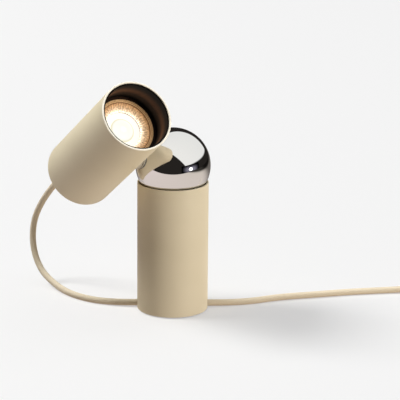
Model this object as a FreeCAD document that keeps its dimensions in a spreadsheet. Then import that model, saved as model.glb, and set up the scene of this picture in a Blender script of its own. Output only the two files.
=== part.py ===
import FreeCAD, Part
import math
import os
import Sketcher
from FreeCAD import Placement, Rotation, Vector

# A table lamp: a round post with a polished ball in its top, and a cylindrical head that a
# magnet seat in its side holds against the ball. Millimetres, +Z up, origin under the post's
# centre on the table, front towards -Y.

tiny = 1e-6

doc = FreeCAD.newDocument("TableLamp")
sheet = doc.addObject("Spreadsheet::Sheet", "Dims")

driving = {
    # post
    "post_radius": 30.0,
    "tube_wall": 1.5,
    "rim_gap": 0.433,
    "tube_lift": 1.0,
    "pad_thick": 2.5,
    "pad_inset": 2.0,
    "ballast_height": 38.0,
    "channel_width": 8.4,
    "channel_top": 8.4,
    "channel_offset": 2.2,
    "channel_spare": 6.0,
    "clip_length": 12.0,
    "clip_width": 30.0,
    "clip_thick": 2.0,
    "clip_gap": 0.5,
    "clip_screw_pitch": 22.0,
    "clip_screw_radius": 1.2,
    "clip_screw_length": 8.0,
    "clip_head_radius": 2.3,
    "clip_head_thick": 1.2,
    # ball and its bearing
    "ball_radius": 31.5,
    "ball_wall": 2.0,
    "ball_height": 126.0,
    "bearing_gap": 0.1,
    "collar_setback": 7.7,
    "collar_floor": 8.0,
    "spindle_radius": 5.0,
    "running_gap": 0.08,
    "flange_radius": 9.0,
    "flange_thick": 3.5,
    "spindle_tail": 4.0,
    "washer_radius": 12.0,
    "washer_thick": 1.5,
    "nut_radius": 8.0,
    "nut_thick": 5.5,
    # where the head rests on the ball, in degrees
    "seat_turn_angle": 198.8,
    "seat_rise_angle": 16.3,
    "head_spin_angle": 52.8,
    # magnet seat
    "seat_gap": 0.3,
    "head_standoff": 1.9,
    "seat_pad_radius": 10.0,
    "seat_pad_thick": 1.8,
    "seat_pad_edge": 3.6,
    "cup_radius": 11.0,
    "cup_height": 7.5,
    "magnet_radius": 8.0,
    "magnet_thick": 5.4,
    "seat_washer_radius": 13.5,
    "seat_washer_thick": 1.2,
    "seat_screw_radius": 1.5,
    "seat_screw_grip": 2.0,
    "seat_screw_head_radius": 2.8,
    "seat_screw_head_thick": 1.7,
    "boss_radius": 14.5,
    # head
    "head_radius": 30.0,
    "head_length": 120.0,
    "seat_setback": 70.8,
    "cap_thick": 3.0,
    "sleeve_wall": 1.3,
    "sleeve_setback": 0.9,
    "sleeve_length": 34.0,
    "bulb_radius": 25.0,
    "mouth_ratio": 0.1975,
    "bulb_ratio": 0.4166667,
    "bulb_rim_thick": 4.0,
    "bulb_rim_wall": 2.5,
    "bulb_neck_radius": 12.5,
    "bulb_neck_length": 13.0,
    "bulb_bowl_depth": 8.0,
    "reflector_height": 6.5,
    "reflector_lip": 2.4,
    "diffuser_radius": 15.5,
    "diffuser_thick": 2.0,
    "lens_radius": 10.3,
    "lens_edge": 1.5,
    "lens_rise": 3.0,
    "bulb_pin_radius": 1.5,
    "bulb_pin_length": 7.0,
    "bulb_pin_spacing": 10.0,
    "lamp_ring_thick": 4.0,
    "holder_width": 27.0,
    "holder_depth": 18.0,
    "holder_ratio": 0.2,
    "holder_corner": 3.0,
    "stud_radius": 3.0,
    "stud_screw_radius": 1.5,
    "stud_screw_length": 9.0,
    "stud_screw_head_radius": 3.0,
    "stud_screw_head_thick": 1.6,
    "block_side": 9.0,
    "block_gap": 1.8,
    # cord and what is on it
    "cord_radius": 2.75,
    "gland_turn_angle": 110.0,
    "gland_offset": 11.0,
    "gland_reach": 22.0,
    "gland_thread_spare": 0.5,
    "gland_thread_radius": 4.5,
    "gland_flange_radius": 7.0,
    "gland_flange_thick": 2.5,
    "gland_root_radius": 5.2,
    "gland_tip_radius": 3.7,
    "gland_nut_radius": 6.9,
    "gland_nut_thick": 3.0,
    "coil_radius": 32.0,
    "coil_turns_across": 3.0,
    "coil_layers": 2.0,
    "coil_bevel": 1.6,
    "coil_lift": 0.6,
    "tie_width": 12.0,
    "switch_length": 56.0,
    "switch_width": 26.0,
    "switch_base_height": 9.0,
    "switch_cover_height": 6.0,
    "switch_corner": 6.0,
    "switch_wall": 2.0,
    "rocker_length": 15.0,
    "rocker_width": 9.0,
    "rocker_height": 6.0,
    "rocker_sink": 1.5,
    "rocker_corner": 1.5,
    "rocker_gap": 0.6,
    "rocker_tilt": 6.0,
    "axle_radius": 1.0,
    "axle_reach": 1.6,
    "axle_spare": 0.2,
    "plug_length": 30.0,
    "plug_half_width": 16.0,
    "plug_half_height": 7.0,
    "plug_face_half_width": 14.8,
    "plug_face_half_height": 5.8,
    "plug_edge": 1.2,
    "plug_grip": 11.0,
    "plug_shoulder": 22.0,
    "plug_shoulder_half_width": 11.0,
    "plug_shoulder_half_height": 6.2,
    "plug_tail_length": 22.0,
    "plug_tail_radius": 5.0,
    "plug_pin_radius": 2.0,
    "plug_pin_length": 19.0,
    "plug_pin_spacing": 18.6,
}

worked_out = {
    "post_bore": "post_radius - tube_wall",
    "rim_drop": "sqrt(ball_radius ^ 2 - (post_bore - rim_gap) ^ 2)",
    "post_top": "ball_height - rim_drop",
    "tube_height": "post_top - tube_lift",
    "pad_radius": "post_bore - pad_inset",
    "channel_round": "channel_width / 2",
    "channel_wall": "channel_top - channel_round",
    "channel_reach": "(post_radius + channel_spare) * 2",
    "clip_groove": "cord_radius + running_gap",
    "collar_top": "post_top - collar_setback",
    "collar_base": "ball_height - ball_radius - bearing_gap - collar_floor",
    "collar_height": "collar_top - collar_base",
    "bowl_radius": "ball_radius + bearing_gap",
    "ball_bore": "ball_radius - ball_wall",
    "spindle_bore": "spindle_radius + running_gap",
    "spindle_low": "collar_base - washer_thick * 2 - bearing_gap - nut_thick - spindle_tail",
    "spindle_high": "ball_height - ball_bore + flange_thick",
    "spindle_length": "spindle_high - spindle_low",
    "pad_bowl": "ball_radius + seat_gap",
    "cup_bore": "cup_radius + running_gap",
    "boss_height": "seat_pad_thick + cup_height + seat_gap - bearing_gap",
    "seat_screw_length": "seat_screw_grip + seat_washer_thick",
    "head_bore": "head_radius - tube_wall",
    "bulb_setback": "head_length * mouth_ratio",
    "bulb_length": "head_length * bulb_ratio",
    "holder_height": "head_length * holder_ratio",
    "sleeve_bore": "head_bore - sleeve_wall",
    "bowl_side": "bulb_radius - bulb_rim_wall",
    "bulb_flare": "bulb_length - bulb_rim_thick",
    "bulb_floor": "bulb_length - bulb_bowl_depth",
    "lens_height": "lens_edge + lens_rise",
    "lens_sphere": "(lens_radius ^ 2 + lens_rise ^ 2) / (2 * lens_rise)",
    "stud_length": "head_length - cap_thick - bulb_setback - bulb_length - holder_height",
    "gland_inner": "gland_nut_thick + cap_thick + gland_thread_spare",
    "gland_flange_end": "gland_inner + gland_flange_thick",
    "gland_end": "gland_inner + gland_reach",
    "block_length": "stud_length + cap_thick - gland_inner - block_gap",
    "lead_length": "gland_end + block_gap",
    "cord_width": "cord_radius * 2",
    "coil_inside": "coil_radius - cord_radius * coil_turns_across",
    "coil_outside": "coil_radius + cord_radius * coil_turns_across",
    "coil_height": "cord_width * coil_layers",
    "coil_inside_bevel": "coil_inside + coil_bevel",
    "coil_outside_bevel": "coil_outside - coil_bevel",
    "coil_top_bevel": "coil_height - coil_bevel",
    "band_inside": "coil_inside - coil_lift",
    "band_outside": "coil_outside + coil_lift",
    "band_height": "coil_height + coil_lift * 2",
    "switch_room_length": "switch_length - switch_wall * 2",
    "switch_room_width": "switch_width - switch_wall * 2",
    "switch_room_height": "switch_base_height - switch_wall",
    "window_length": "rocker_length + rocker_gap * 2",
    "window_width": "rocker_width + rocker_gap * 2",
    "axle_length": "rocker_width + axle_reach * 2",
    "axle_bore": "axle_radius + running_gap",
    "axle_room": "axle_length + axle_spare * 2",
}

for row, (word, amount) in enumerate(driving.items(), start=1):
    sheet.set("A%d" % row, word)
    sheet.set("B%d" % row, str(amount))
    sheet.setAlias("B%d" % row, word)
for row, (word, formula) in enumerate(worked_out.items(), start=1):
    sheet.set("D%d" % row, word)
    sheet.set("E%d" % row, "=" + formula)
    sheet.setAlias("E%d" % row, word)
doc.recompute()


def size(word):
    return float(sheet.get(word))


def bind(item, **words):
    for name, word in words.items():
        item.setExpression(name, "Dims." + word)
    return item


def at(x, y, z):
    return Placement(Vector(x, y, z), Rotation())


def cylinder(name, radius, height, place):
    item = bind(doc.addObject("Part::Cylinder", name), Radius=radius, Height=height)
    item.Placement = place
    return item


def cone(name, low_radius, high_radius, height, place):
    item = doc.addObject("Part::Cone", name)
    bind(item, Radius1=low_radius, Radius2=high_radius, Height=height)
    item.Placement = place
    return item


def box(name, length, width, height, corner):
    item = bind(doc.addObject("Part::Box", name), Length=length, Width=width, Height=height)
    item.Placement = corner
    return item


def centred_box(name, length, width, height, place):
    # A box whose foot is centred on the placement.
    shift = at(-size(length) / 2, -size(width) / 2, 0)
    return box(name, length, width, height, place.multiply(shift))


def sphere(name, radius, centre):
    item = bind(doc.addObject("Part::Sphere", name), Radius=radius)
    item.Placement = Placement(centre, Rotation())
    return item


def cut(name, base, *tools):
    for number, tool in enumerate(tools, start=1):
        step = name if number == len(tools) else "%s_cut%d" % (name, number)
        item = doc.addObject("Part::Cut", step)
        item.Base = base
        item.Tool = tool
        base = item
    return base


def fuse(name, *shapes):
    item = doc.addObject("Part::MultiFuse", name)
    item.Shapes = list(shapes)
    return item


def common(name, base, tool):
    item = doc.addObject("Part::Common", name)
    item.Base = base
    item.Tool = tool
    return item


def gathered(name, *shapes):
    item = doc.addObject("Part::Compound", name)
    item.Links = list(shapes)
    return item


nodes = []


def keep(item, label):
    item.Label = label
    nodes.append(item)
    return item


def origin_plane(body, role):
    return [feature for feature in body.Origin.OriginFeatures if feature.Role == role][0]


def new_sketch(body, role):
    sketch = body.newObject("Sketcher::SketchObject", body.Name + "_sketch")
    sketch.AttachmentSupport = [(origin_plane(body, role), "")]
    sketch.MapMode = "FlatFace"
    return sketch


def closed_lines(sketch, corners):
    count = len(corners)
    for index in range(count):
        start = Vector(*corners[index], 0)
        stop = Vector(*corners[(index + 1) % count], 0)
        sketch.addGeometry(Part.LineSegment(start, stop), False)
    for index in range(count):
        sketch.addConstraint(Sketcher.Constraint("Coincident", index, 2, (index + 1) % count, 1))


def turned(name, outline, place):
    # A solid of revolution about its own Z. Each corner is a radius and a height, as words
    # of the sheet, and None puts the corner on the axis or on the base.
    body = doc.addObject("PartDesign::Body", name)
    sketch = new_sketch(body, "XZ_Plane")
    closed_lines(sketch, [(size(out) if out else 0.0, size(up) if up else 0.0) for out, up in outline])
    for index, (out, up) in enumerate(outline):
        for kind, word, axis in (("DistanceX", out, -2), ("DistanceY", up, -1)):
            if word is None:
                sketch.addConstraint(Sketcher.Constraint("PointOnObject", index, 1, axis))
                continue
            limit = sketch.addConstraint(Sketcher.Constraint(kind, -1, 1, index, 1, size(word)))
            sketch.setExpression("Constraints[%d]" % limit, "Dims." + word)
    turn = body.newObject("PartDesign::Revolution", name + "_turn")
    turn.Profile = sketch
    turn.ReferenceAxis = (sketch, ["V_Axis"])
    turn.Angle = 360.0
    body.Placement = place
    return body


def rounded_block(name, length, width, height, corner, place):
    # A block centred on its own Z, with its upright edges rounded.
    body = doc.addObject("PartDesign::Body", name)
    sketch = new_sketch(body, "XY_Plane")
    half_x = size(length) / 2
    half_y = size(width) / 2
    closed_lines(sketch, [(-half_x, -half_y), (half_x, -half_y), (half_x, half_y), (-half_x, half_y)])
    for side in (0, 2):
        sketch.addConstraint(Sketcher.Constraint("Horizontal", side))
        sketch.addConstraint(Sketcher.Constraint("Vertical", side + 1))
    sketch.addConstraint(Sketcher.Constraint("Symmetric", 0, 1, 1, 2, -1, 1))
    across = sketch.addConstraint(Sketcher.Constraint("DistanceX", 0, 1, 0, 2, size(length)))
    along = sketch.addConstraint(Sketcher.Constraint("DistanceY", 1, 1, 1, 2, size(width)))
    sketch.setExpression("Constraints[%d]" % across, "Dims." + length)
    sketch.setExpression("Constraints[%d]" % along, "Dims." + width)
    block = body.newObject("PartDesign::Pad", name + "_pad")
    block.Profile = sketch
    bind(block, Length=height)
    doc.recompute()
    upright = []
    for number, edge in enumerate(block.Shape.Edges, start=1):
        if 1 - abs(edge.tangentAt(edge.FirstParameter).z) < tiny:
            upright.append("Edge%d" % number)
    rounding = body.newObject("PartDesign::Fillet", name + "_rounding")
    rounding.Base = (block, upright)
    bind(rounding, Radius=corner)
    body.Placement = place
    return body


# Frames of the ball, the seat and the head

ball_centre = Vector(0, 0, size("ball_height"))
turn_angle = math.radians(size("seat_turn_angle"))
rise_angle = math.radians(size("seat_rise_angle"))
spin_angle = math.radians(size("head_spin_angle"))
seat_axis = Vector(
    math.cos(rise_angle) * math.cos(turn_angle),
    math.cos(rise_angle) * math.sin(turn_angle),
    math.sin(rise_angle),
)
seat_up = Vector(
    -math.sin(rise_angle) * math.cos(turn_angle),
    -math.sin(rise_angle) * math.sin(turn_angle),
    math.cos(rise_angle),
)
seat_side = Vector(-math.sin(turn_angle), math.cos(turn_angle), 0)
head_axis = seat_up * math.cos(spin_angle) + seat_side * math.sin(spin_angle)

seat_frame = Placement(ball_centre, Rotation(head_axis, seat_axis.cross(head_axis), seat_axis, "ZXY"))
head_reach = size("ball_radius") + size("head_standoff") + size("head_radius")
head_frame = Placement(
    ball_centre + seat_axis * head_reach,
    Rotation(seat_axis * -1, head_axis.cross(seat_axis * -1), head_axis, "ZXY"),
)
rim_z = size("seat_setback")
rear_z = size("seat_setback") - size("head_length")


def on_seat(height):
    return seat_frame.multiply(at(0, 0, height))


def on_head(height, x=0.0, y=0.0):
    return head_frame.multiply(at(x, y, height))


def facing_rear(height, x=0.0, y=0.0):
    return head_frame.multiply(Placement(Vector(x, y, height), Rotation(Vector(1, 0, 0), 180)))


# Post


def channel_tool(name):
    # A slot across the foot with a round roof, where the cord passes.
    y = size("channel_offset")
    reach = size("channel_reach")
    walls = centred_box(name + "_walls", "channel_reach", "channel_width", "channel_wall", at(0, y, 0))
    along_x = Rotation(Vector(0, 1, 0), 90)
    roof_place = Placement(Vector(-reach / 2, y, size("channel_wall")), along_x)
    roof = cylinder(name + "_roof", "channel_round", "channel_reach", roof_place)
    return fuse(name, walls, roof)


def clip_screw_places():
    y = size("channel_offset")
    half = size("clip_screw_pitch") / 2
    return [(0.0, y - half), (0.0, y + half)]


def make_post_tube():
    outside = cylinder("tube_outside", "post_radius", "tube_height", at(0, 0, size("tube_lift")))
    inside = cylinder("tube_inside", "post_bore", "post_top", at(0, 0, 0))
    keep(cut("tube", outside, inside, channel_tool("tube_channel")), "post_tube")


def make_ballast():
    weight = cylinder("weight", "post_bore", "ballast_height", at(0, 0, size("pad_thick")))
    tools = [channel_tool("weight_channel")]
    for number, (x, y) in enumerate(clip_screw_places()):
        place = at(x, y, size("clip_gap"))
        tools.append(cylinder("weight_hole%d" % number, "clip_screw_radius", "clip_screw_length", place))
    keep(cut("ballast_solid", weight, *tools), "ballast")


def make_foot_pads():
    for label, side in (("foot_pad_front", -1), ("foot_pad_rear", 1)):
        disc = cylinder(label + "_disc", "pad_radius", "pad_thick", at(0, 0, 0))
        edge_y = size("channel_offset") + side * size("channel_round")
        half_y = edge_y - side * size("channel_reach") / 2
        beyond = at(0, half_y, 0)
        far_side = centred_box(label + "_far", "channel_reach", "channel_reach", "pad_thick", beyond)
        clip = at(0, size("channel_offset"), 0)
        room = centred_box(label + "_room", "clip_length", "clip_width", "pad_thick", clip)
        keep(cut(label + "_solid", disc, far_side, room), label)


def make_cord_clip():
    y = size("channel_offset")
    low = size("clip_gap")
    bar = centred_box("clip_bar", "clip_length", "clip_width", "clip_thick", at(0, y, low))
    along_x = Rotation(Vector(0, 1, 0), 90)
    groove_place = Placement(Vector(-size("clip_length") / 2, cord_foot_y, cord_foot_z), along_x)
    groove = cylinder("clip_groove_tool", "clip_groove", "clip_length", groove_place)
    tools = [groove]
    screws = []
    for number, (x, y) in enumerate(clip_screw_places()):
        place = at(x, y, low)
        tools.append(cylinder("clip_hole%d" % number, "clip_screw_radius", "clip_thick", place))
        tools.append(cylinder("clip_sink%d" % number, "clip_head_radius", "clip_head_thick", place))
        shank = cylinder("clip_shank%d" % number, "clip_screw_radius", "clip_screw_length", place)
        head = cylinder("clip_head%d" % number, "clip_head_radius", "clip_head_thick", place)
        screws.append(fuse("clip_screw%d" % number, shank, head))
    keep(cut("clip_solid", bar, *tools), "cord_clip")
    keep(gathered("clip_screw_pair", *screws), "clip_screws")


def make_top_collar():
    ring = cylinder("collar_ring", "post_bore", "collar_height", at(0, 0, size("collar_base")))
    bowl = sphere("collar_bowl", "bowl_radius", ball_centre)
    bore = cylinder("collar_bore", "spindle_bore", "post_top", at(0, 0, 0))
    keep(cut("collar_solid", ring, bowl, bore), "top_collar")


def make_friction_washer():
    low = size("collar_base") - size("washer_thick")
    disc = cylinder("friction_disc", "washer_radius", "washer_thick", at(0, 0, low))
    bore = cylinder("friction_bore", "spindle_bore", "post_top", at(0, 0, 0))
    keep(cut("friction_solid", disc, bore), "friction_washer")


# Ball


def make_ball():
    outside = sphere("ball_outside", "ball_radius", ball_centre)
    inside = sphere("ball_inside", "ball_bore", ball_centre)
    hole = cylinder("ball_hole", "spindle_radius", "ball_height", at(0, 0, 0))
    keep(cut("ball_solid", outside, inside, hole), "ball_shell")


def make_spindle():
    low = size("spindle_low")
    shank = cylinder("spindle_shank", "spindle_radius", "spindle_length", at(0, 0, low))
    flange_low = size("spindle_high") - size("flange_thick") - size("ball_wall")
    blank = cylinder("flange_blank", "flange_radius", "ball_radius", at(0, 0, flange_low))
    over = at(0, 0, size("spindle_high"))
    above = centred_box("flange_above", "channel_reach", "channel_reach", "ball_height", over)
    inner = sphere("flange_sphere", "ball_bore", ball_centre)
    flange = cut("flange_solid", common("flange_round", blank, inner), above)
    keep(fuse("spindle_solid", shank, flange), "ball_spindle")


def make_spindle_fixings():
    spring_low = size("collar_base") - size("washer_thick") * 2 - size("bearing_gap")
    disc = cylinder("spring_disc", "washer_radius", "washer_thick", at(0, 0, spring_low))
    disc_bore = cylinder("spring_bore", "spindle_radius", "post_top", at(0, 0, 0))
    keep(cut("spring_solid", disc, disc_bore), "spring_washer")
    prism = doc.addObject("Part::Prism", "nut_prism")
    prism.Polygon = 6
    bind(prism, Circumradius="nut_radius", Height="nut_thick")
    prism.Placement = at(0, 0, spring_low - size("nut_thick"))
    nut_bore = cylinder("nut_bore", "spindle_radius", "post_top", at(0, 0, 0))
    keep(cut("nut_solid", prism, nut_bore), "spindle_nut")


# Magnet seat

pad_back = size("pad_bowl") + size("seat_pad_thick")
cup_back = pad_back + size("cup_height")


def make_seat():
    pad_low = on_seat(pad_back - size("seat_pad_edge"))
    disc = cylinder("pad_disc", "seat_pad_radius", "seat_pad_edge", pad_low)
    keep(cut("pad_solid", disc, sphere("pad_hollow", "pad_bowl", ball_centre)), "seat_pad")
    shell = cylinder("cup_shell", "cup_radius", "cup_height", on_seat(pad_back))
    room = cylinder("cup_room", "magnet_radius", "magnet_thick", on_seat(pad_back))
    thread_place = on_seat(cup_back - size("seat_screw_grip"))
    thread = cylinder("cup_thread", "seat_screw_radius", "seat_screw_length", thread_place)
    keep(cut("cup_solid", shell, room, thread), "magnet_cup")
    keep(cylinder("magnet_solid", "magnet_radius", "magnet_thick", on_seat(pad_back)), "disc_magnet")
    ring = cylinder("washer_ring", "seat_washer_radius", "seat_washer_thick", on_seat(cup_back))
    hole = cylinder("washer_hole", "seat_screw_radius", "seat_washer_thick", on_seat(cup_back))
    keep(cut("washer_solid", ring, hole), "seat_washer")
    shank = cylinder("screw_shank", "seat_screw_radius", "seat_screw_length", thread_place)
    head_place = on_seat(cup_back + size("seat_washer_thick"))
    head = cylinder("screw_head", "seat_screw_head_radius", "seat_screw_head_thick", head_place)
    keep(fuse("screw_solid", shank, head), "seat_screw")


# Head


def make_head_tube():
    outside = cylinder("head_outside", "head_radius", "head_length", on_head(rear_z))
    inside = cylinder("head_inside", "head_bore", "head_length", on_head(rear_z))
    hole = cylinder("head_side_hole", "cup_bore", "head_radius", on_seat(size("ball_radius")))
    keep(cut("head_solid", outside, inside, hole), "head_tube")


def make_pivot_boss():
    # A ring welded inside the tube's wall, in which the magnet cup turns.
    ring = cylinder("boss_ring", "boss_radius", "boss_height", on_seat(size("ball_radius")))
    inside = cylinder("boss_inside", "head_bore", "head_length", on_head(rear_z))
    bore = cylinder("boss_bore", "cup_bore", "head_radius", on_seat(size("ball_radius")))
    keep(cut("boss_solid", common("boss_blank", ring, inside), bore), "pivot_boss")


def gland_spot():
    angle = math.radians(size("gland_turn_angle"))
    return size("gland_offset") * math.cos(angle), size("gland_offset") * math.sin(angle)


def make_rear_cap():
    x, y = gland_spot()
    disc = cylinder("cap_disc", "head_bore", "cap_thick", on_head(rear_z))
    gland_hole = cylinder("cap_gland_hole", "gland_thread_radius", "cap_thick", on_head(rear_z, x, y))
    screw_hole = cylinder("cap_screw_hole", "stud_screw_radius", "cap_thick", on_head(rear_z))
    sink = cylinder("cap_sink", "stud_screw_head_radius", "stud_screw_head_thick", on_head(rear_z))
    keep(cut("cap_solid", disc, gland_hole, screw_hole, sink), "rear_cap")


def make_stud():
    # The stud that carries the lamp holder, and the screw that holds it to the rear cap.
    foot = rear_z + size("cap_thick")
    post = cylinder("stud_post", "stud_radius", "stud_length", on_head(foot))
    thread = cylinder("stud_thread", "stud_screw_radius", "stud_screw_length", on_head(rear_z))
    keep(cut("stud_solid", post, thread), "holder_stud")
    shank = cylinder("stud_screw_shank", "stud_screw_radius", "stud_screw_length", on_head(rear_z))
    head = cylinder("stud_screw_head", "stud_screw_head_radius", "stud_screw_head_thick", on_head(rear_z))
    keep(fuse("stud_screw_solid", shank, head), "stud_screw")


bulb_z = rim_z - size("bulb_setback") - size("bulb_length")


def pin_spots():
    half = size("bulb_pin_spacing") / 2
    return [-half, half]


def make_lamp_holder():
    low = bulb_z - size("holder_height")
    place = on_head(low)
    block = rounded_block(
        "holder_block", "holder_depth", "holder_width", "holder_height", "holder_corner", place
    )
    tools = []
    for number, y in enumerate(pin_spots()):
        place = on_head(bulb_z - size("bulb_pin_length"), 0, y)
        tools.append(cylinder("holder_hole%d" % number, "bulb_pin_radius", "bulb_pin_length", place))
    keep(cut("holder_solid", block, *tools), "lamp_holder")


def make_bulb():
    body_outline = [
        (None, None),
        ("bulb_neck_radius", None),
        ("bulb_neck_radius", "bulb_neck_length"),
        ("bulb_radius", "bulb_flare"),
        ("bowl_side", "bulb_flare"),
        ("bowl_side", "bulb_floor"),
        (None, "bulb_floor"),
    ]
    keep(turned("bulb_turned", body_outline, on_head(bulb_z)), "bulb_body")
    rim_low = on_head(bulb_z + size("bulb_flare"))
    rim = cylinder("bulb_rim_disc", "bulb_radius", "bulb_rim_thick", rim_low)
    rim_bore = cylinder("bulb_rim_bore", "bowl_side", "bulb_rim_thick", rim_low)
    keep(cut("bulb_rim_solid", rim, rim_bore), "bulb_rim")
    reflector_outline = [
        ("diffuser_radius", None),
        ("bowl_side", None),
        ("bowl_side", "reflector_height"),
        ("diffuser_radius", "reflector_lip"),
    ]
    floor = on_head(bulb_z + size("bulb_floor"))
    keep(turned("reflector_turned", reflector_outline, floor), "bulb_reflector")
    disc = cylinder("diffuser_disc", "diffuser_radius", "diffuser_thick", floor)
    disc_bore = cylinder("diffuser_bore", "lens_radius", "diffuser_thick", floor)
    keep(cut("diffuser_solid", disc, disc_bore), "bulb_diffuser")
    lens_blank = cylinder("lens_blank", "lens_radius", "lens_height", floor)
    dome_z = bulb_z + size("bulb_floor") + size("lens_height") - size("lens_sphere")
    dome = sphere("lens_dome", "lens_sphere", on_head(dome_z).Base)
    keep(common("lens_solid", lens_blank, dome), "bulb_lens")
    pins = []
    for number, y in enumerate(pin_spots()):
        place = on_head(bulb_z - size("bulb_pin_length"), 0, y)
        pins.append(cylinder("bulb_pin%d" % number, "bulb_pin_radius", "bulb_pin_length", place))
    keep(gathered("bulb_pin_pair", *pins), "bulb_pins")


def make_sleeve():
    low = on_head(rim_z - size("sleeve_setback") - size("sleeve_length"))
    outside = cylinder("sleeve_outside", "head_bore", "sleeve_length", low)
    inside = cylinder("sleeve_inside", "sleeve_bore", "sleeve_length", low)
    keep(cut("sleeve_solid", outside, inside), "inner_sleeve")
    ring_low = on_head(rim_z - size("bulb_setback") - size("lamp_ring_thick"))
    ring = cylinder("lamp_ring_disc", "sleeve_bore", "lamp_ring_thick", ring_low)
    ring_bore = cylinder("lamp_ring_bore", "bulb_radius", "lamp_ring_thick", ring_low)
    keep(cut("lamp_ring_solid", ring, ring_bore), "lamp_ring")


def make_gland():
    x, y = gland_spot()
    inner_z = rear_z + size("gland_inner")
    outline = [
        ("cord_radius", None),
        ("gland_thread_radius", None),
        ("gland_thread_radius", "gland_inner"),
        ("gland_flange_radius", "gland_inner"),
        ("gland_flange_radius", "gland_flange_end"),
        ("gland_root_radius", "gland_flange_end"),
        ("gland_tip_radius", "gland_end"),
        ("cord_radius", "gland_end"),
    ]
    keep(turned("gland_turned", outline, facing_rear(inner_z, x, y)), "cord_gland")
    prism = doc.addObject("Part::Prism", "gland_nut_prism")
    prism.Polygon = 6
    bind(prism, Circumradius="gland_nut_radius", Height="gland_nut_thick")
    prism.Placement = on_head(rear_z + size("cap_thick"), x, y)
    thread = cylinder("gland_nut_thread", "gland_thread_radius", "gland_nut_thick", prism.Placement)
    keep(cut("gland_nut_solid", prism, thread), "gland_nut")
    tip_z = rear_z - size("gland_reach")
    keep(cylinder("lead_solid", "cord_radius", "lead_length", on_head(tip_z, x, y)), "inner_lead")
    block_z = bulb_z - size("holder_height") - size("block_length")
    place = on_head(block_z, x, y)
    keep(centred_box("block_solid", "block_side", "block_side", "block_length", place), "terminal_block")


# Cord
#
# The route's points are chosen by hand. It leaves the gland, hangs down behind the head to the
# table, passes through the foot and runs over the table to the switch. A span is the stretch
# that the named corners of its route shape.

# share of the shorter run beside a corner that its arc takes
arc_share = 0.45

cord_foot_y = 1.5
cord_foot_z = 4.1
route = [
    (-90.6, 35.7, 111.4),
    (-96.4, 45.5, 103.3),
    (-113.9, 64.9, 77.8),
    (-124.1, 75.9, 53.9),
    (-124.8, 73.8, 30.5),
    (-117.5, 64.6, 12.2),
    (-104.5, 48.5, 4.6),
    (-91.0, 28.8, 2.75),
    (-73.1, 12.7, 2.75),
    (-52.8, 4.6, 3.0),
    (-23.7, 1.3, 4.1),
    (10.0, 1.6, 4.1),
    (40.3, 4.0, 3.4),
    (65.7, 9.8, 2.75),
    (92.2, 22.8, 2.75),
    (122.2, 30.0, 2.75),
    (151.5, 38.0, 2.75),
    (182.6, 43.6, 2.75),
    (204.0, 45.6, 3.4),
    (222.0, 46.5, 5.5),
]
near_spans = [
    ("cord_drop_upper", None, 2),
    ("cord_drop_middle", 3, 5),
    ("cord_drop_lower", 6, 8),
    ("cord_table", 9, None),
]
switch_y = 46.5
far_route = [
    (278.0, 46.5, 5.5),
    (293.0, 47.3, 4.6),
    (308.0, 47.6, 3.7),
    (320.0, 47.0, 3.35),
]
coil_x = 332.0
coil_y = 9.5
tail_route = [
    (320.0, -28.4, 8.6),
    (309.0, -30.0, 7.4),
    (298.0, -35.4, 6.0),
    (287.0, -41.4, 6.0),
    (276.0, -43.5, 7.0),
]
plug_y = -43.5


def corner_pieces(points):
    # For each inner point, the path from the middle of the run before it to the middle of the
    # run after it: a line, an arc tangent to both runs, and a line.
    spots = [Vector(*point) for point in points]
    pieces = []
    for before, corner, after in zip(spots, spots[1:], spots[2:]):
        back = (before - corner).normalize()
        ahead = (after - corner).normalize()
        turn = math.pi - back.getAngle(ahead)
        trim = arc_share * min((before - corner).Length, (after - corner).Length)
        radius = trim / math.tan(turn / 2)
        enter = corner + back * trim
        leave = corner + ahead * trim
        inward = (back + ahead).normalize()
        centre = corner + inward * (radius / math.cos(turn / 2))
        middle = centre - inward * radius
        start = corner + (before - corner) * 0.5
        stop = corner + (after - corner) * 0.5
        edges = [
            Part.LineSegment(start, enter).toShape(),
            Part.Arc(enter, middle, leave).toShape(),
            Part.LineSegment(leave, stop).toShape(),
        ]
        pieces.append((radius, edges))
    first = Part.LineSegment(spots[0], (spots[0] + spots[1]) * 0.5).toShape()
    last = Part.LineSegment((spots[-2] + spots[-1]) * 0.5, spots[-1]).toShape()
    return first, pieces, last


def make_tube(label, points, from_corner=None, to_corner=None):
    # The stretch of a route that its corners from_corner to to_corner shape, ends included
    # where the stretch reaches them.
    first, pieces, last = corner_pieces(points)
    low = from_corner if from_corner is not None else 0
    high = to_corner if to_corner is not None else len(pieces) - 1
    edges = [first] if from_corner is None else []
    for _, corner_edges in pieces[low : high + 1]:
        edges += corner_edges
    if to_corner is None:
        edges.append(last)
    path = Part.Wire(edges)
    start = edges[0].valueAt(edges[0].FirstParameter)
    direction = edges[0].tangentAt(edges[0].FirstParameter)
    ring = Part.Wire([Part.makeCircle(size("cord_radius"), start, direction)])
    tube = path.makePipeShell([ring], True, False)
    expected = math.pi * size("cord_radius") ** 2 * path.Length
    radii = [round(radius, 1) for radius, _ in pieces[low : high + 1]]
    print(label, "length", round(path.Length, 1), "volume ratio", round(tube.Volume / expected, 4))
    print(label, "radii", radii)
    item = doc.addObject("Part::Feature", label + "_solid")
    item.Shape = tube
    keep(item, label)


def make_cord():
    for label, first_corner, last_corner in near_spans:
        make_tube(label, route, first_corner, last_corner)
    make_tube("cord_past_switch", far_route)
    make_tube("cord_tail", tail_route)


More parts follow.
